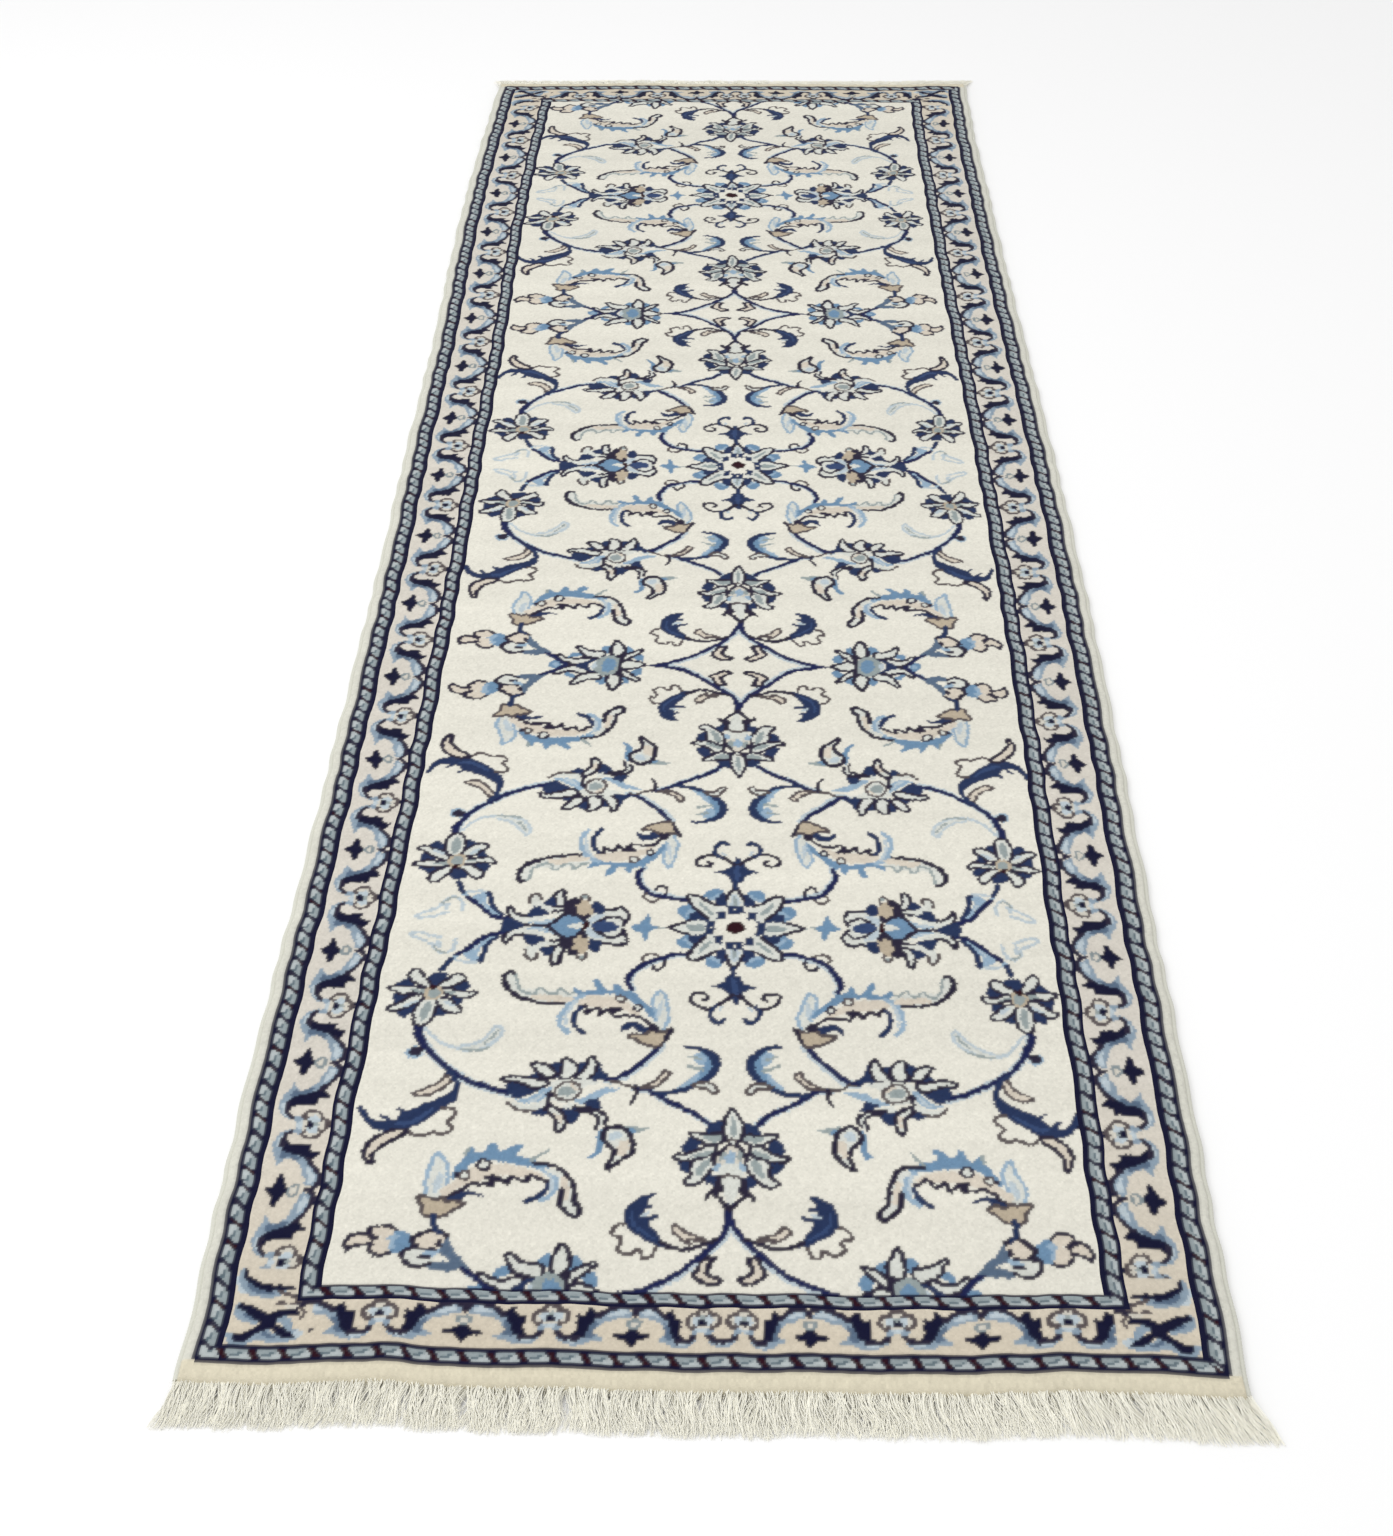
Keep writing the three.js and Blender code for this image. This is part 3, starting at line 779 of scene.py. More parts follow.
def wander(x, y, k, rows):
    """A slow drift of the weaver's hand, in chart units, and a small slip from row to row."""
    return (
        1.8 * scatter(np.floor(rows * 0.4))
        + 0.8 * np.sin(x / 31 + 2.1 * k + y / 57)
        + 0.7 * np.sin(y / 23 - x / 71 + 1.3 * k)
        + 0.45 * np.sin(x / 11.3 + y / 13.7 + k)
    )


def guard(a, s, pitch, gap, outer, inner):
    """A rope-like guard: a runs across it from the rug's outside, 0 to 1, and s along it.

    Each turn is a rounded grey block, light and shaded, between dark lines.
    """
    phase = s % pitch
    t = (phase - gap) / (pitch - gap)
    w = (a - outer) / (1 - outer - inner)
    between = (w > 0) & (w < 1) & (phase > 0.1 * gap) & (phase < 0.85 * gap)
    out = np.where(between, YARN["maroon"], YARN["night"]).astype(np.uint8)
    block = (abs(2 * t - 1) ** 8 + abs(2 * w - 1) ** 6 < 1) & (t > 0)
    split = 0.26 + 0.4 * t
    out[block] = YARN["guard_mid"]
    out[block & (w < split)] = YARN["guard_light"]
    out[block & (abs(w - split) < 0.1) & (t > 0.12) & (t < 0.72)] = YARN["shadow"]
    return out


def fold(s, half):
    """Runs up and down between 0 and half."""
    return abs((s + half) % (2 * half) - half)


def yarn_at(mx, my):
    """The yarn at points of the rug, given in millimetres."""
    x = mx / UNIT_X + MIDDLE_X
    y = (my - END_Y[1]) / UNIT_Y
    from_side, from_end = np.minimum(x, CHART_WIDTH - x), np.minimum(y, CHART_LENGTH - y)
    wx, wy = x + wander(x, y, 0.0, y), y + wander(x, y, 2.0, x)
    # the field
    axis = np.interp(y, AXIS_AT, AXIS_X)
    off = abs(wx - axis)
    off = np.where(wx < axis, np.interp(off, WIDE_AT, WIDE_TO), off)
    out = FIELD.read(AXIS_DRAWN + off, np.interp(wy, TURNS_AT, TURNS_TO))
    inside = (from_side > SIDE_EDGES[3]) & (from_end > END_EDGES[3])
    # how far in from the outer guard's edge, counted in whole bands
    bands_x = np.interp(from_side, SIDE_EDGES, (0, 1, 2, 3))
    bands_y = np.interp(from_end, END_EDGES, (0, 1, 2, 3))
    on_side = bands_x <= bands_y
    band = np.minimum(bands_x, bands_y)
    # the guards, whose ropes lean the same way all round
    pitch, gap, lean, outer, inner = (np.where(on_side, *pair) for pair in zip(SIDE_ROPE, END_ROPE))
    across = band % 1
    rises = np.where(on_side, x < MIDDLE_X, y < MIDDLE_Y)
    s = np.where(on_side, y, x) + lean * np.where(rises, across, 1 - across)
    s += 1.6 * np.sin(s / 37) + 1.1 * np.sin(s / 17.3 + band)
    ropes = guard(across, s, pitch, gap, outer, inner)
    dull = on_side & (ropes == YARN["maroon"]) & (np.sin(s / 5) < 0.2)
    ropes = np.where(dull, YARN["ink"], ropes)
    in_guard = ((band < 1) | (band >= 2)) & (band < 3) & ~inside
    out[in_guard] = ropes[in_guard]
    # the main border
    at = (band >= 1) & (band < 2) & ~inside
    across = BORDER_X + BORDER_WIDE * (band - 1) + 0.6 * wander(x, y, 1.0, np.where(on_side, y, x))
    side_s = fold(wy - SIDE_FIRST, SIDE_HALF)
    end_s = fold(wx - END_FIRST, END_HALF) * (BORDER_HALF / END_HALF)
    middle = abs(wx - TWIN_X)
    share = BORDER_HALF / (END_HALF - TWIN_APART)
    twin = np.where(middle < TWIN_APART, TWIN_APART - middle, (middle - TWIN_APART) * share)
    end_s = np.where(middle < END_HALF, twin, end_s)
    side = BORDER_SIDE.read(across, BORDER_STARTS + side_s)
    end = BORDER_END.read(across, BORDER_STARTS + end_s)
    out[at] = np.where(on_side, side, end)[at]
    corner = at & (from_side < CORNER_X) & (from_end < CORNER_Y)
    corner &= (from_end < CORNER_END) | on_side
    out[corner] = CORNER.read(from_side, from_end)[corner]
    # the plain edge
    rim = (from_side < SIDE_EDGES[0]) | (from_end < END_EDGES[0])
    out[rim] = np.where(from_end < END_EDGES[0], YARN["plain_end"], YARN["plain"])[rim]
    return out


UNDER_LAMP = 0.86  # dyed wool is this much darker than it looks under the studio light


def linear(rgb):
    return UNDER_LAMP * (np.array(rgb) / 255.0) ** 2.2


LINEAR = linear(list(YARNS.values()))
DARK, DARK_COUNTS = 320, 1.7  # a yarn whose colour sums to less than this counts for more
WEIGHT = np.array([DARK_COUNTS if sum(rgb) < DARK else 1.0 for rgb in YARNS.values()])
PROBE = 0.6  # how far from a knot's middle its yarn is read


def knot_colours(mx, my):
    """One colour for each knot: the yarn that fills most of it. A dark outline counts for more."""
    votes = np.zeros((len(mx), len(YARNS)), np.float32)
    rows = np.arange(len(mx))
    for dx in (-PROBE, 0, PROBE):
        for dy in (-PROBE, 0, PROBE):
            yarn = yarn_at(mx + dx, my + dy)
            np.add.at(votes, (rows, yarn), WEIGHT[yarn])
    yarn = votes.argmax(1)
    colour = LINEAR[yarn]
    # the main border's ground is dyed warmer towards the two ends
    cooler = np.clip((ALONG - abs(my) - 30) / 260, 0, 1)[:, None]
    warm, cool = LINEAR[YARN["border"]], LINEAR[YARN["border_side"]]
    ground = yarn == YARN["border"]
    colour[ground] = ((1 - cooler) * warm + cooler * cool)[ground]
    # each knot takes the dye a little differently, and so does each run of the weft
    shade = 1 + 0.045 * rng.standard_normal(len(mx))
    shade *= (
        1
        + 0.014 * np.sin(my / 37 + 3 * np.sin(my / 210))
        + 0.014 * np.sin(my / 9.1)
        + 0.008 * np.sin(my / 3.1)
    )
    return colour * shade[:, None]


# ------------------------------------------------------------------ how the rug lies
# How far its edges stray from straight: millimetres, the place along the edge, and the reach.
RIGHT_BOWS = (11, -190, 1000), (-2.5, 975, 220), (1.5, -900, 200)
LEFT_BOWS = (-2.6, -900, 300), (-3, 100, 300), (-10, 730, 640)
FRONT_BOWS = (3.6, -247, 70), (4, 292, 110), (-1.2, 0, 160)
BACK_BOWS = (3, -180, 120), (-3, 240, 130)
END_REACH = 260  # how far in from an end its own bows fade out


def bump(t):
    return np.where(abs(t) < 1, np.cos(np.pi / 2 * np.clip(t, -1, 1)) ** 2, 0)


def bows(rows, at):
    return sum(height * bump((at - middle) / reach) for height, middle, reach in rows)


def lay(p):
    """Moves points, in millimetres, to where the rug lies.

    Its long edges bow a little, its ends are not quite straight, and its rows waver.
    """
    x, y = p[:, 0].copy(), p[:, 1].copy()
    t = (x + 400) / 800
    p[:, 0] = x + bows(LEFT_BOWS, y) * (1 - t) + bows(RIGHT_BOWS, y) * t
    p[:, 0] += 0.8 * np.sin(y / 9.7 + 1.4 * np.sin(y / 41)) + 0.5 * np.sin(y / 23 + x / 70)
    front = bows(FRONT_BOWS, x) * bump((y + ALONG) / END_REACH)
    p[:, 1] = y + front + bows(BACK_BOWS, x) * bump((y - ALONG) / END_REACH)
    p[:, 1] += 0.5 * np.sin(x / 10.3 + 1.2 * np.sin(x / 37)) + 0.4 * np.sin(x / 27 + y / 90)
    return p


def relief(x, y):
    """The pile is sheared by hand, so its top rolls by a few tenths of a millimetre."""
    return (
        0.2 * np.sin(x / 2.9 + 1.7 * np.sin(y / 5.3))
        + 0.22 * np.sin(y / 2.3 + 1.9 * np.sin(x / 6.1))
        + 0.22 * np.sin(x / 13 + y / 17)
        + 0.22 * np.sin(y / 11 - x / 19)
    )


# ------------------------------------------------------------------ meshes
def values_of(items, name, width=3, kind=float):
    """One property of all the items of a mesh, as an array."""
    values = np.empty(len(items) * width, kind)
    items.foreach_get(name, values)
    return values.reshape(-1, width) if width > 1 else values


def place(mesh, p):
    """Lays points, in millimetres, and stores them in metres."""
    mesh.vertices.foreach_set("co", (lay(p) / 1000).ravel())
    mesh.update()


def corners_of(mesh):
    """For each face corner: its vertex and its face."""
    sizes = values_of(mesh.polygons, "loop_total", 1, np.int32)
    vert = values_of(mesh.loops, "vertex_index", 1, np.int32)
    return vert, np.repeat(np.arange(len(sizes)), sizes)


def made_of(geometry, kind):
    return [item for item in geometry if isinstance(item, kind)]


def grid(bm, box, z, nx, ny):
    """A level grid of nx by ny faces over a box (x0, y0, x1, y1)."""
    x0, y0, x1, y1 = box
    bmesh.ops.create_grid(bm, x_segments=nx, y_segments=ny, size=0.5)
    bmesh.ops.scale(bm, vec=(x1 - x0, y1 - y0, 1), verts=bm.verts)
    bmesh.ops.translate(bm, vec=((x0 + x1) / 2, (y0 + y1) / 2, z), verts=bm.verts)


def to_mesh(bm, name):
    """Turns a closed shape's faces outwards and makes it a mesh."""
    bmesh.ops.recalc_face_normals(bm, faces=bm.faces)
    mesh = bpy.data.meshes.new(name)
    bm.to_mesh(mesh)
    bm.free()
    return mesh


def finish_piece(mesh, name, material, node_name):
    """Puts a finished mesh in the scene, on the rug's body, standing for its CAD node."""
    mesh.polygons.foreach_set("use_smooth", np.ones(len(mesh.polygons), bool))
    mesh.set_sharp_from_angle(angle=math.radians(50))
    mesh.name = name
    mesh.materials.append(material)
    piece = bpy.data.objects.new(name, mesh)
    scene.collection.objects.link(piece)
    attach(piece, "root")
    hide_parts(node_name)
    return piece


# ------------------------------------------------------------------ cut pile
def bake_map(mesh, flat, box, strips, along_y):
    """A map for baking: a long run is cut into strips that lie side by side."""
    vert, face = corners_of(mesh)
    centre = values_of(mesh.polygons, "center")
    up = values_of(mesh.polygons, "normal")[:, 2] > 0.3
    low, high = np.array(box[:2]), np.array(box[2:])
    p = flat[vert]
    share = (p[:, :2] - low) / (high - low)
    far = (centre[:, :2] - low) / (high - low)
    run = 1 if along_y else 0
    a, s = share[:, 1 - run], share[:, run]
    k = np.clip(np.floor(far[:, run] * strips), 0, strips - 1)[face]
    u = 0.94 * (k + 0.02 + 0.96 * a) / strips
    v = 0.004 + 0.97 * (s * strips - k)
    # walls and foot go to a narrow column of their own
    wall = ~up[face]
    height = (p[:, 2] - PILE_FOOT) / (PILE_TOP - PILE_FOOT)
    u = np.where(wall, 0.95 + 0.045 * np.clip(height, 0, 1), u)
    v = np.where(wall, 0.01 + 0.9 * (0.5 * s + 0.4 * a), v)
    layer = mesh.uv_layers.new(name="OFBake")
    layer.data.foreach_set("uv", np.stack([u, np.clip(v, 0, 1)], 1).ravel())


EDGE_ROWS = 1.6  # rows of faces lie closer together towards an edge that rounds over
OWN_COLOUR = 0.52  # the rest of a knot's colour comes from its neighbours
CALM = 6  # the roll of the sheared top fades out this near to the rug's edge


def pile_run(name, box, node_name, strips=1, along_y=True, outer=None):
    """A run of cut pile: a grid with one face for each knot, closed with walls and a foot.

    box is (x0, y0, x1, y1) in millimetres. outer is (axis, outer edge, inner edge) on the rim.
    """
    x0, y0, x1, y1 = box
    nx, ny = max(4, round((x1 - x0) / KNOT)), max(4, round((y1 - y0) / KNOT))
    if along_y:
        ny = strips * math.ceil(ny / strips)
    else:
        nx = strips * math.ceil(nx / strips)
    bm = bmesh.new()
    grid(bm, box, PILE_TOP, nx, ny)
    rim = [e for e in bm.edges if e.is_boundary]
    walls = bmesh.ops.extrude_edge_only(bm, edges=rim)["geom"]
    foot = made_of(walls, bmesh.types.BMVert)
    bmesh.ops.translate(bm, vec=(0, 0, PILE_FOOT - PILE_TOP), verts=foot)
    bmesh.ops.contextual_create(bm, geom=made_of(walls, bmesh.types.BMEdge))
    mesh = to_mesh(bm, name)
    p = values_of(mesh.vertices, "co")
    if outer:
        axis, far, near = outer
        share = np.clip((p[:, axis] - far) / (near - far), 0, 1)
        p[:, axis] = far + (near - far) * share**EDGE_ROWS
        mesh.vertices.foreach_set("co", p.ravel())
        mesh.update()
    # colours, knot by knot
    centre = values_of(mesh.polygons, "center")
    i = np.clip(((centre[:, 0] - x0) / (x1 - x0) * nx).astype(int), 0, nx - 1)
    j = np.clip(((centre[:, 1] - y0) / (y1 - y0) * ny).astype(int), 0, ny - 1)
    gx, gy = (at.ravel() + 0.5 for at in np.meshgrid(np.arange(nx), np.arange(ny)))
    knots = knot_colours(x0 + gx * (x1 - x0) / nx, y0 + gy * (y1 - y0) / ny)
    own = knots[j * nx + i]
    vert, face = corners_of(mesh)
    around = [np.bincount(vert, own[face][:, ch], len(p)) for ch in range(3)]
    around = np.stack(around, 1) / np.bincount(vert, minlength=len(p))[:, None]
    soft = OWN_COLOUR * own[face] + (1 - OWN_COLOUR) * around[vert]
    layer = mesh.color_attributes.new("yarn", "FLOAT_COLOR", "CORNER")
    layer.data.foreach_set("color", np.column_stack([soft, np.ones(len(soft))]).ravel())
    bake_map(mesh, p.copy(), box, strips, along_y)
    # the sheared top, rounded over along the rug's edge
    top = p[:, 2] > PILE_TOP - 0.01
    from_side, from_end = PILE_ACROSS - abs(p[:, 0]), PILE_ALONG - abs(p[:, 1])
    edge = np.minimum(from_side, from_end)
    r = np.where(from_side < from_end, SIDE_ROUND, END_ROUND)
    fall = r - np.sqrt(np.maximum(r**2 - np.maximum(r - edge, 0) ** 2, 0))
    calm = np.clip(edge / CALM, 0, 1)
    p[top, 2] += (relief(p[:, 0], p[:, 1]) * calm - fall)[top]
    place(mesh, p)
    return finish_piece(mesh, name, pile_wool, node_name)


# ------------------------------------------------------------------ materials
def group(name, inputs, outputs):
    g = bpy.data.node_groups.new(name, "ShaderNodeTree")
    for label, kind, value in inputs:
        g.interface.new_socket(label, in_out="INPUT", socket_type=kind).default_value = value
    for label, kind in outputs:
        g.interface.new_socket(label, in_out="OUTPUT", socket_type=kind)
    return g, g.nodes.new("NodeGroupInput").outputs, g.nodes.new("NodeGroupOutput").inputs


def node(tree, kind, inputs=None, **settings):
    """A shader node with its settings, and with values or links on its inputs."""
    n = tree.nodes.new(kind)
    for k, v in settings.items():
        setattr(n, k, v)
    for k, v in (inputs or {}).items():
        if isinstance(v, bpy.types.NodeSocket):
            tree.links.new(v, n.inputs[k])
        else:
            n.inputs[k].default_value = v
    return n


def noise(tree, at, scale, detail, rough=0.5):
    values = {"Vector": at, "Scale": scale, "Detail": detail, "Roughness": rough}
    return node(tree, "ShaderNodeTexNoise", values).outputs["Fac"]


def stretched(tree, at, scale):
    return node(tree, "ShaderNodeMapping", {"Vector": at, "Scale": scale}).outputs["Vector"]


def times(tree, a, b):
    return node(tree, "ShaderNodeMath", {0: a, 1: b}, operation="MULTIPLY").outputs[0]


def plus(tree, a, b):
    return node(tree, "ShaderNodeMath", {0: a, 1: b}, operation="ADD").outputs[0]


def blend_of(tree, a, b, share):
    """share of a, and the rest of b"""
    return plus(tree, times(tree, a, share), times(tree, b, 1 - share))


def spread(tree, value, by):
    """How far a value is from the middle, times by."""
    return times(tree, plus(tree, value, -0.5), by)


def put_out(tree, yarn, change, grain, gout):
    """The yarn's colour, lighter or darker by change, and the grain as a height."""
    inputs = {"Factor": 1, "A": yarn, "B": plus(tree, change, 1.0)}
    tint = node(tree, "ShaderNodeMix", inputs, data_type="RGBA", blend_type="MULTIPLY")
    tree.links.new(tint.outputs["Result"], gout["Colour"])
    tree.links.new(grain, gout["Height"])


PUTS_OUT = [("Colour", "NodeSocketColor"), ("Height", "NodeSocketFloat")]
TAKES_YARN = ("Yarn", "NodeSocketColor", (1, 1, 1, 1))


def make_wool_fibre():
    """Cut wool seen end on: fine speckle, small tufts and slow shade changes between dye lots."""
    takes = [TAKES_YARN, ("Speckle", "NodeSocketFloat", 0.1), ("Lot", "NodeSocketFloat", 0.05)]
    g, gin, gout = group("wool_fibre", takes, PUTS_OUT)
    at = g.nodes.new("ShaderNodeTexCoord").outputs["Object"]
    fine = noise(g, at, 1500, 3, 0.7)
    tuft = noise(g, at, 420, 2, 0.55)
    lot = noise(g, stretched(g, at, (1.5, 9, 1)), 2.2, 2)
    grain = blend_of(g, fine, tuft, 0.55)
    change = plus(g, spread(g, grain, gin["Speckle"]), spread(g, lot, gin["Lot"]))
    put_out(g, gin["Yarn"], change, grain, gout)
    return g


def make_cotton_twist():
    """Spun cotton: faint slubs along the yarn and a fine twist."""
    stretch = ("Stretch", "NodeSocketVector", (1, 1, 1))
    takes = [TAKES_YARN, stretch, ("Speckle", "NodeSocketFloat", 0.2)]
    g, gin, gout = group("cotton_twist", takes, PUTS_OUT)
    at = g.nodes.new("ShaderNodeTexCoord").outputs["Object"]
    fine = noise(g, stretched(g, at, gin["Stretch"]), 900, 3, 0.65)
    slub = noise(g, at, 60, 2)
    grain = blend_of(g, fine, slub, 0.6)
    put_out(g, gin["Yarn"], spread(g, grain, gin["Speckle"]), grain, gout)
    return g


WOOL, COTTON = make_wool_fibre(), make_cotton_twist()


def yarn_material(name, spun, colour=None, sheen=0.06, depth=0.0005, strength=0.4, **values):
    """A matt yarn. Without a colour it takes each knot's own."""
    material = bpy.data.materials.new(name)
    material.use_nodes = True
    t = material.node_tree
    t.nodes.clear()
    if colour is None:
        knot = node(t, "ShaderNodeAttribute", attribute_name="yarn", attribute_type="GEOMETRY")
        values["Yarn"] = knot.outputs["Color"]
    else:
        values["Yarn"] = [*linear(colour), 1]
    fibre = node(t, "ShaderNodeGroup", values, node_tree=spun)
    height = {"Strength": strength, "Distance": depth, "Height": fibre.outputs["Height"]}
    cloth = {
        "Base Color": fibre.outputs["Colour"],
        "Normal": node(t, "ShaderNodeBump", height).outputs["Normal"],
        "Roughness": 0.95,
        "Specular IOR Level": 0.06,
        "Sheen Weight": sheen,
        "Sheen Roughness": 0.5,
        "Sheen Tint": (1, 1, 1, 1),
    }
    body = node(t, "ShaderNodeBsdfPrincipled", cloth)
    node(t, "ShaderNodeOutputMaterial", {"Surface": body.outputs[0]})
    return material


pile_wool = yarn_material("pile_wool", WOOL, depth=0.0008, strength=0.55, Speckle=0.36, Lot=0.12)
selvedge_wool = yarn_material("selvedge_wool", WOOL, (221, 221, 209), Speckle=0.35, Lot=0.08)
ground_cotton = yarn_material("ground_cotton", COTTON, (222, 217, 200), Speckle=0.5)
fringe_cotton = yarn_material(
    "fringe_cotton", COTTON, (266, 264, 253), sheen=0.1, Stretch=(1, 0.15, 1), Speckle=0.3
)

# ------------------------------------------------------------------ pile
SLOTS = ("plain_pile", "guard_pile", "border_pile", "guard_pile")
SIDE_STRIPS, END_STRIPS = (16, 10, 7, 10), (7, 8, 4, 7)  # strips in each band's map for baking
FIELD_PANELS = 6
side_x, end_y = [-PILE_ACROSS, *SIDE_X[1:]], [-PILE_ALONG, *END_Y[1:]]
for k, (band, slot) in enumerate(zip(BANDS, SLOTS)):
    x0, x1, y0, y1 = side_x[k], side_x[k + 1], end_y[k], end_y[k + 1]
    for name, box, strips, rim in (
        ("left", (x0, y0, x1, -y0), SIDE_STRIPS[k], (0, x0, x1)),
        ("right", (-x1, y0, -x0, -y0), SIDE_STRIPS[k], (0, -x0, -x1)),
        ("front", (x1, y0, -x1, y1), END_STRIPS[k], (1, y0, y1)),
        ("back", (x1, -y1, -x1, -y0), END_STRIPS[k], (1, -y0, -y1)),
    ):
        label = f"{band}_{name}"
        outer = rim if k == 0 else None
        along_y = rim[0] == 0
        pile_run(f"{label}_pile", box, label, strips, along_y, outer)
edges = np.linspace(end_y[4], -end_y[4], FIELD_PANELS + 1)
for k in range(FIELD_PANELS):
    box = (side_x[4], edges[k], -side_x[4], edges[k + 1])
    pile_run(f"field_panel_{k + 1}", box, "field_pile")


# ------------------------------------------------------------------ ground, selvedges, ends
def cotton_slab(name, box, z0, z1, nx, ny, node_name, shape):
    """A closed woven strip with a grid on both faces, which shape gives its ribs."""
    bm = bmesh.new()
    grid(bm, box, z0, nx, ny)
    top = made_of(bmesh.ops.extrude_face_region(bm, geom=bm.faces[:])["geom"], bmesh.types.BMVert)
    bmesh.ops.translate(bm, vec=(0, 0, z1 - z0), verts=top)
    mesh = to_mesh(bm, name)
    p = values_of(mesh.vertices, "co")
    shape(p)
    place(mesh, p)
    return finish_piece(mesh, name, ground_cotton, node_name)


def roll_up(bm, around, rings, shape):
    """Rolls a new grid into a tube and merges its seam. shape turns an angle and a share of the
    length into points."""
    verts = bmesh.ops.create_grid(bm, x_segments=around, y_segments=rings, size=0.5)["verts"]
    co = np.array([v.co for v in verts])
    for v, q in zip(verts, lay(shape((co[:, 0] + 0.5) * 2 * math.pi, co[:, 1] + 0.5)) / 1000):
        v.co = q
    bmesh.ops.remove_doubles(bm, verts=verts, dist=1e-6)


LINING_RINGS = 64


def rolled(name, around, rings, shape, material, slot, node_name, lining=None):
    """A tube, closed at its ends, or with a hollow of the shape that lining gives."""
    bm = bmesh.new()
    roll_up(bm, around, rings, shape)
    if lining:
        roll_up(bm, around, LINING_RINGS, lining)
        rims = [e for e in bm.edges if e.is_boundary]
        for end in (-1, 1):
            bmesh.ops.bridge_loops(bm, edges=[e for e in rims if e.verts[0].co.y * end > 0])
    else:
        bmesh.ops.holes_fill(bm, edges=[e for e in bm.edges if e.is_boundary], sides=around)
    return finish_piece(to_mesh(bm, name), name, material, node_name)


def ground_ribs(p):
    under = p[:, 2] < 1
    p[under, 2] += 0.08 * (1 + np.sin(p[under, 1] * 1.1))


ground_box = (-ACROSS, -ALONG, ACROSS, ALONG)
ground = cotton_slab("ground_weave", ground_box, 0, PILE_FOOT, 60, 420, "woven_ground", ground_ribs)

# Selvedges: wool turns round a cable of three bundled warps.
WRAP_PITCH, WRAP_GROOVE, WRAP_RINGS, WRAP_BORE = 2.7, 0.34, 3530, 2.3
CABLE_R, CABLE_LAY, CABLE_RINGS = 2.0, 24, 600
SELVEDGE_SIDES = 12
for side, sign in (("left", -1), ("right", 1)):

    def round_edge(r, angle, y):
        x = sign * SELVEDGE_X + r * np.cos(angle)
        return np.stack([x, y, SELVEDGE_R + r * np.sin(angle)], 1)

    def wrap(angle, share):
        y = (share - 0.5) * 2 * ALONG
        turn = 2 * math.pi * y / WRAP_PITCH + angle
        r = SELVEDGE_R - WRAP_GROOVE * (0.5 - 0.5 * np.cos(turn)) + 0.05 * np.sin(y / 7.3)
        return round_edge(r, angle, y)

    def bore(angle, share):
        return round_edge(WRAP_BORE, angle, (share - 0.5) * 2 * ALONG)

    def cable(angle, share):
        y = (share - 0.5) * 2 * ALONG
        r = CABLE_R + 0.22 * np.cos(3 * (angle - 2 * math.pi * y / CABLE_LAY))
        return round_edge(r, angle, y)

    wool = selvedge_wool, "selvedge_wool", f"selvedge_wrap_{side}"
    cotton = ground_cotton, "ground_cotton", f"selvedge_cable_{side}"
    wrapping = f"selvedge_overcasting_{side}"
    rolled(wrapping, SELVEDGE_SIDES, WRAP_RINGS, wrap, *wool, bore)
    rolled(f"selvedge_cord_{side}", SELVEDGE_SIDES, CABLE_RINGS, cable, *cotton)

# Ends: a strip of flat weave, and a cord of two twined yarns that locks it.
KILIM_ALONG, KILIM_ACROSS, KILIM_HEIGHTS, RIB = (1191.8, 1196.4), 400, (0.05, 1.85), 3.7
CORD_LENGTH, CORD_ALONG, CORD_HEIGHT, CORD_R, CORD_LAY = 798, 1194.3, 2.75, 0.95, 7.4
CORD_SIDES, END_RINGS = 10, 860
for end, sign in (("front", -1), ("back", 1)):

    def kilim_ribs(p):
        top = p[:, 2] > 1
        p[top, 2] += 0.12 * np.sin(p[top, 0] * 2 * math.pi / RIB)

    def twining(angle, share):
        x = (share - 0.5) * CORD_LENGTH
        r = CORD_R + 0.2 * np.cos(2 * (angle - 2 * math.pi * x / CORD_LAY))
        y = sign * CORD_ALONG + r * np.cos(angle)
        return np.stack([x, y, CORD_HEIGHT + r * np.sin(angle)], 1)

    y0, y1 = sorted(sign * y for y in KILIM_ALONG)
    box = (-KILIM_ACROSS, y0, KILIM_ACROSS, y1)
    kilim = f"kilim_end_{end}", box, *KILIM_HEIGHTS, END_RINGS, 4, f"end_kilim_{end}"
    cotton_slab(*kilim, kilim_ribs)
    cord = ground_cotton, "ground_cotton", f"end_twining_{end}"
    rolled(f"twined_cord_{end}", CORD_SIDES, END_RINGS, twining, *cord)

# ------------------------------------------------------------------ fringe
STRANDS, STEPS, SIDES = 4300, 7, 3
FRINGE_ROOT, FRINGE_OUT, FRINGE_ACROSS = 1192.6, 37.0, 398.5
LOCK = 15  # yarns that curl together, on average
HALF_WIDTH = 400


def make_strand():
    """One fringe yarn, a unit long, drawn out from a small ring."""
    bm = bmesh.new()
    bmesh.ops.create_circle(bm, segments=SIDES, radius=1, cap_ends=True)
    cap = bm.faces[:]
    for k in range(STEPS):
        made = bmesh.ops.extrude_face_region(bm, geom=cap)["geom"]
        if k:
            bmesh.ops.delete(bm, geom=cap, context="FACES_ONLY")
        cap = made_of(made, bmesh.types.BMFace)
        bmesh.ops.translate(bm, vec=(0, 0, 1 / STEPS), verts=made_of(made, bmesh.types.BMVert))
    return to_mesh(bm, "strand")


STRAND = make_strand()


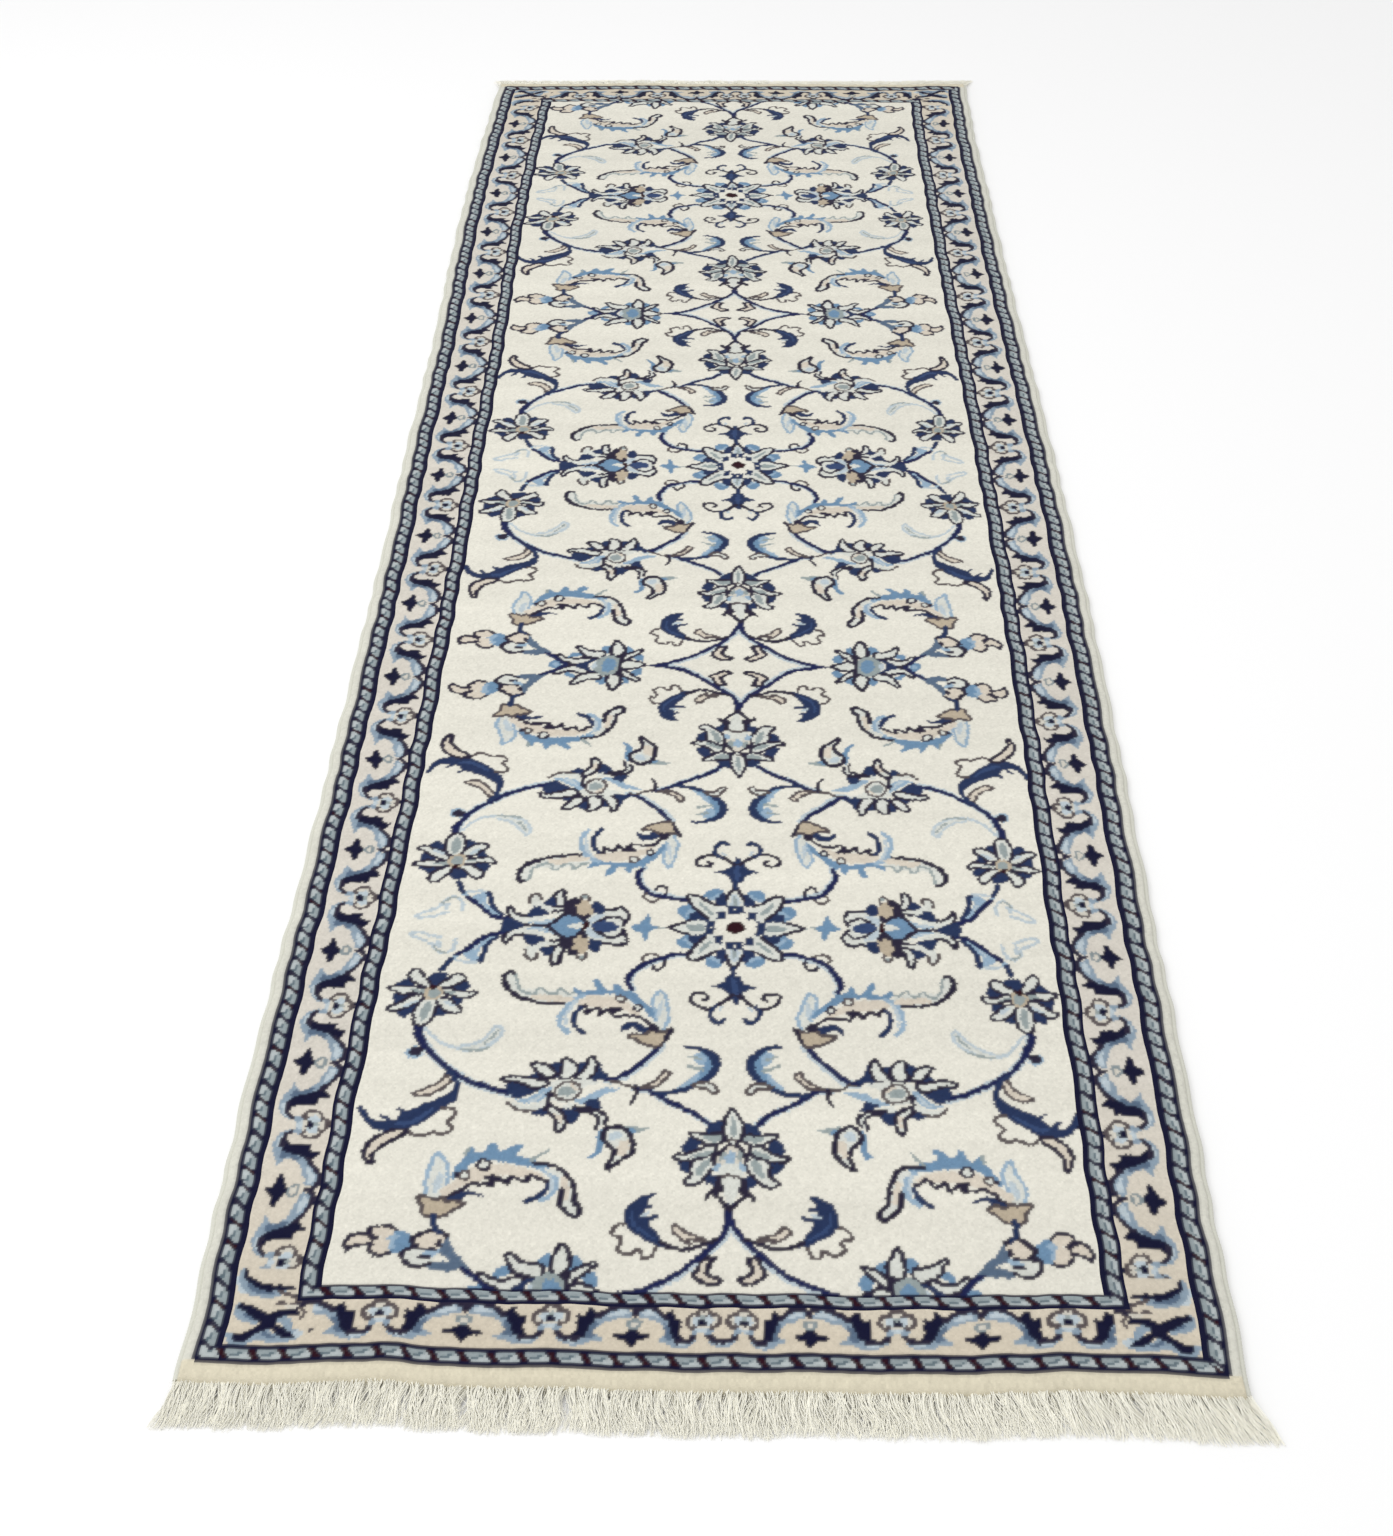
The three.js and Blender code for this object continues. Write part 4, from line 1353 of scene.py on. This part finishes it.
def fringe(end, sign):
    """The free warps of one end. Each yarn leaves the edge high and comes down to the floor."""
    name = f"fringe_yarns_{end}"
    bm = bmesh.new()
    for _ in range(STRANDS):
        bm.from_mesh(STRAND)
    mesh = bpy.data.meshes.new(name)
    bm.to_mesh(mesh)
    bm.free()
    p = values_of(mesh.vertices, "co").reshape(STRANDS, -1, 3)
    t = p[:, :, 2]

    def each(low, high, count=STRANDS):
        return rng.uniform(low, high, count)

    root = np.linspace(-FRINGE_ACROSS, FRINGE_ACROSS, STRANDS) + each(-0.7, 0.7)
    layer = each(0, 1)
    # locks of a few yarns curl together
    lock = np.cumsum(each(0, 1) < 1 / LOCK)
    locks = lock.max() + 1
    outward = abs(root) / HALF_WIDTH
    calm = outward**4  # the tufts near the corners are combed straighter
    curl = rng.normal(0, 3.6, locks)[lock] * (1 - 0.7 * calm)
    stray = rng.normal(0, 1, STRANDS) * np.where(each(0, 1) < 0.3, 8, 3)
    swirl = each(0, 6.28, locks)[lock] + rng.normal(0, 0.5, STRANDS)
    wave = each(0.8, 3.4, locks)[lock] * each(0.5, 1.5) * (1 - 0.6 * calm)
    length = FRINGE_OUT - each(0, 7) - each(0, 3, locks)[lock] - 0.25 * abs(curl)
    corner = 3 if sign < 0 else 0  # the front corners fan out a little more
    lean = 14 * np.tanh(root / 200) * outward**0.5 + corner * np.sign(root) * outward**9
    lean = lean * np.where(root > 0, 1.2, 0.55) + curl + stray
    # the corner tufts stay near the corner
    reach = np.sign(lean) * (HALF_WIDTH + 13 + each(-3, 3) - root * np.sign(lean))
    lean = np.where(lean > 0, np.minimum(lean, reach), np.maximum(lean, reach))
    radius = each(0.3, 0.5)
    root, lean, wave, swirl, length, layer, radius = (
        v[:, None] for v in (root, lean, wave, swirl, length, layer, radius)
    )
    x = root + lean * t**1.2 + wave * (np.sin(swirl + 6.6 * t) - np.sin(swirl))
    y = t * length + 0.9 * wave * (np.cos(swirl + 6.5 * t) - np.cos(swirl)) * (1 - t)
    rise = 0.6 + 5.6 * layer**0.8
    z = rise * (1 - t) ** 1.15 + 0.5 + layer * (0.8 + 3.4 * t * (1 - t))
    z += 0.5 * layer * np.sin(swirl * 3 + 7 * t)
    r = radius * (1 - 0.4 * t**3)
    y = np.maximum(y, 0)
    z = np.maximum(z, r + 0.05)
    out = np.stack([x + r * p[:, :, 0], sign * (FRINGE_ROOT + y), z + r * p[:, :, 1]], 2)
    place(mesh, out.reshape(-1, 3))
    bm = bmesh.new()
    bm.from_mesh(mesh)
    closed = to_mesh(bm, name)
    return finish_piece(closed, name, fringe_cotton, f"fringe_{end}")


for end, sign in (("front", -1), ("back", 1)):
    fringe(end, sign)

# ------------------------------------------------------------------ floor and light
bpy.ops.mesh.primitive_plane_add(size=30, location=(0, 4, -0.0004))
floor = bpy.context.object
floor.name = "floor"
pale = bpy.data.materials.new("pale_floor")
pale.use_nodes = True
paint = pale.node_tree.nodes["Principled BSDF"].inputs
paint["Base Color"].default_value = (0.92, 0.92, 0.92, 1)
paint["Roughness"].default_value = 0.9
floor.data.materials.append(pale)

scene.world = bpy.data.worlds.new("studio")
scene.world.use_nodes = True
sky = scene.world.node_tree.nodes["Background"].inputs
sky["Color"].default_value = (1, 1, 1, 1)
sky["Strength"].default_value = 0.85
lamp = bpy.data.lights.new("soft_box", "AREA")
lamp.shape, lamp.size, lamp.energy = "SQUARE", 3.0, 45
lamp_object = bpy.data.objects.new("soft_box", lamp)
scene.collection.objects.link(lamp_object)
leans = Matrix.Rotation(math.radians(-25), 4, "Y")
lamp_object.matrix_world = Matrix.Translation((-1.5, -0.5, 3.0)) @ leans
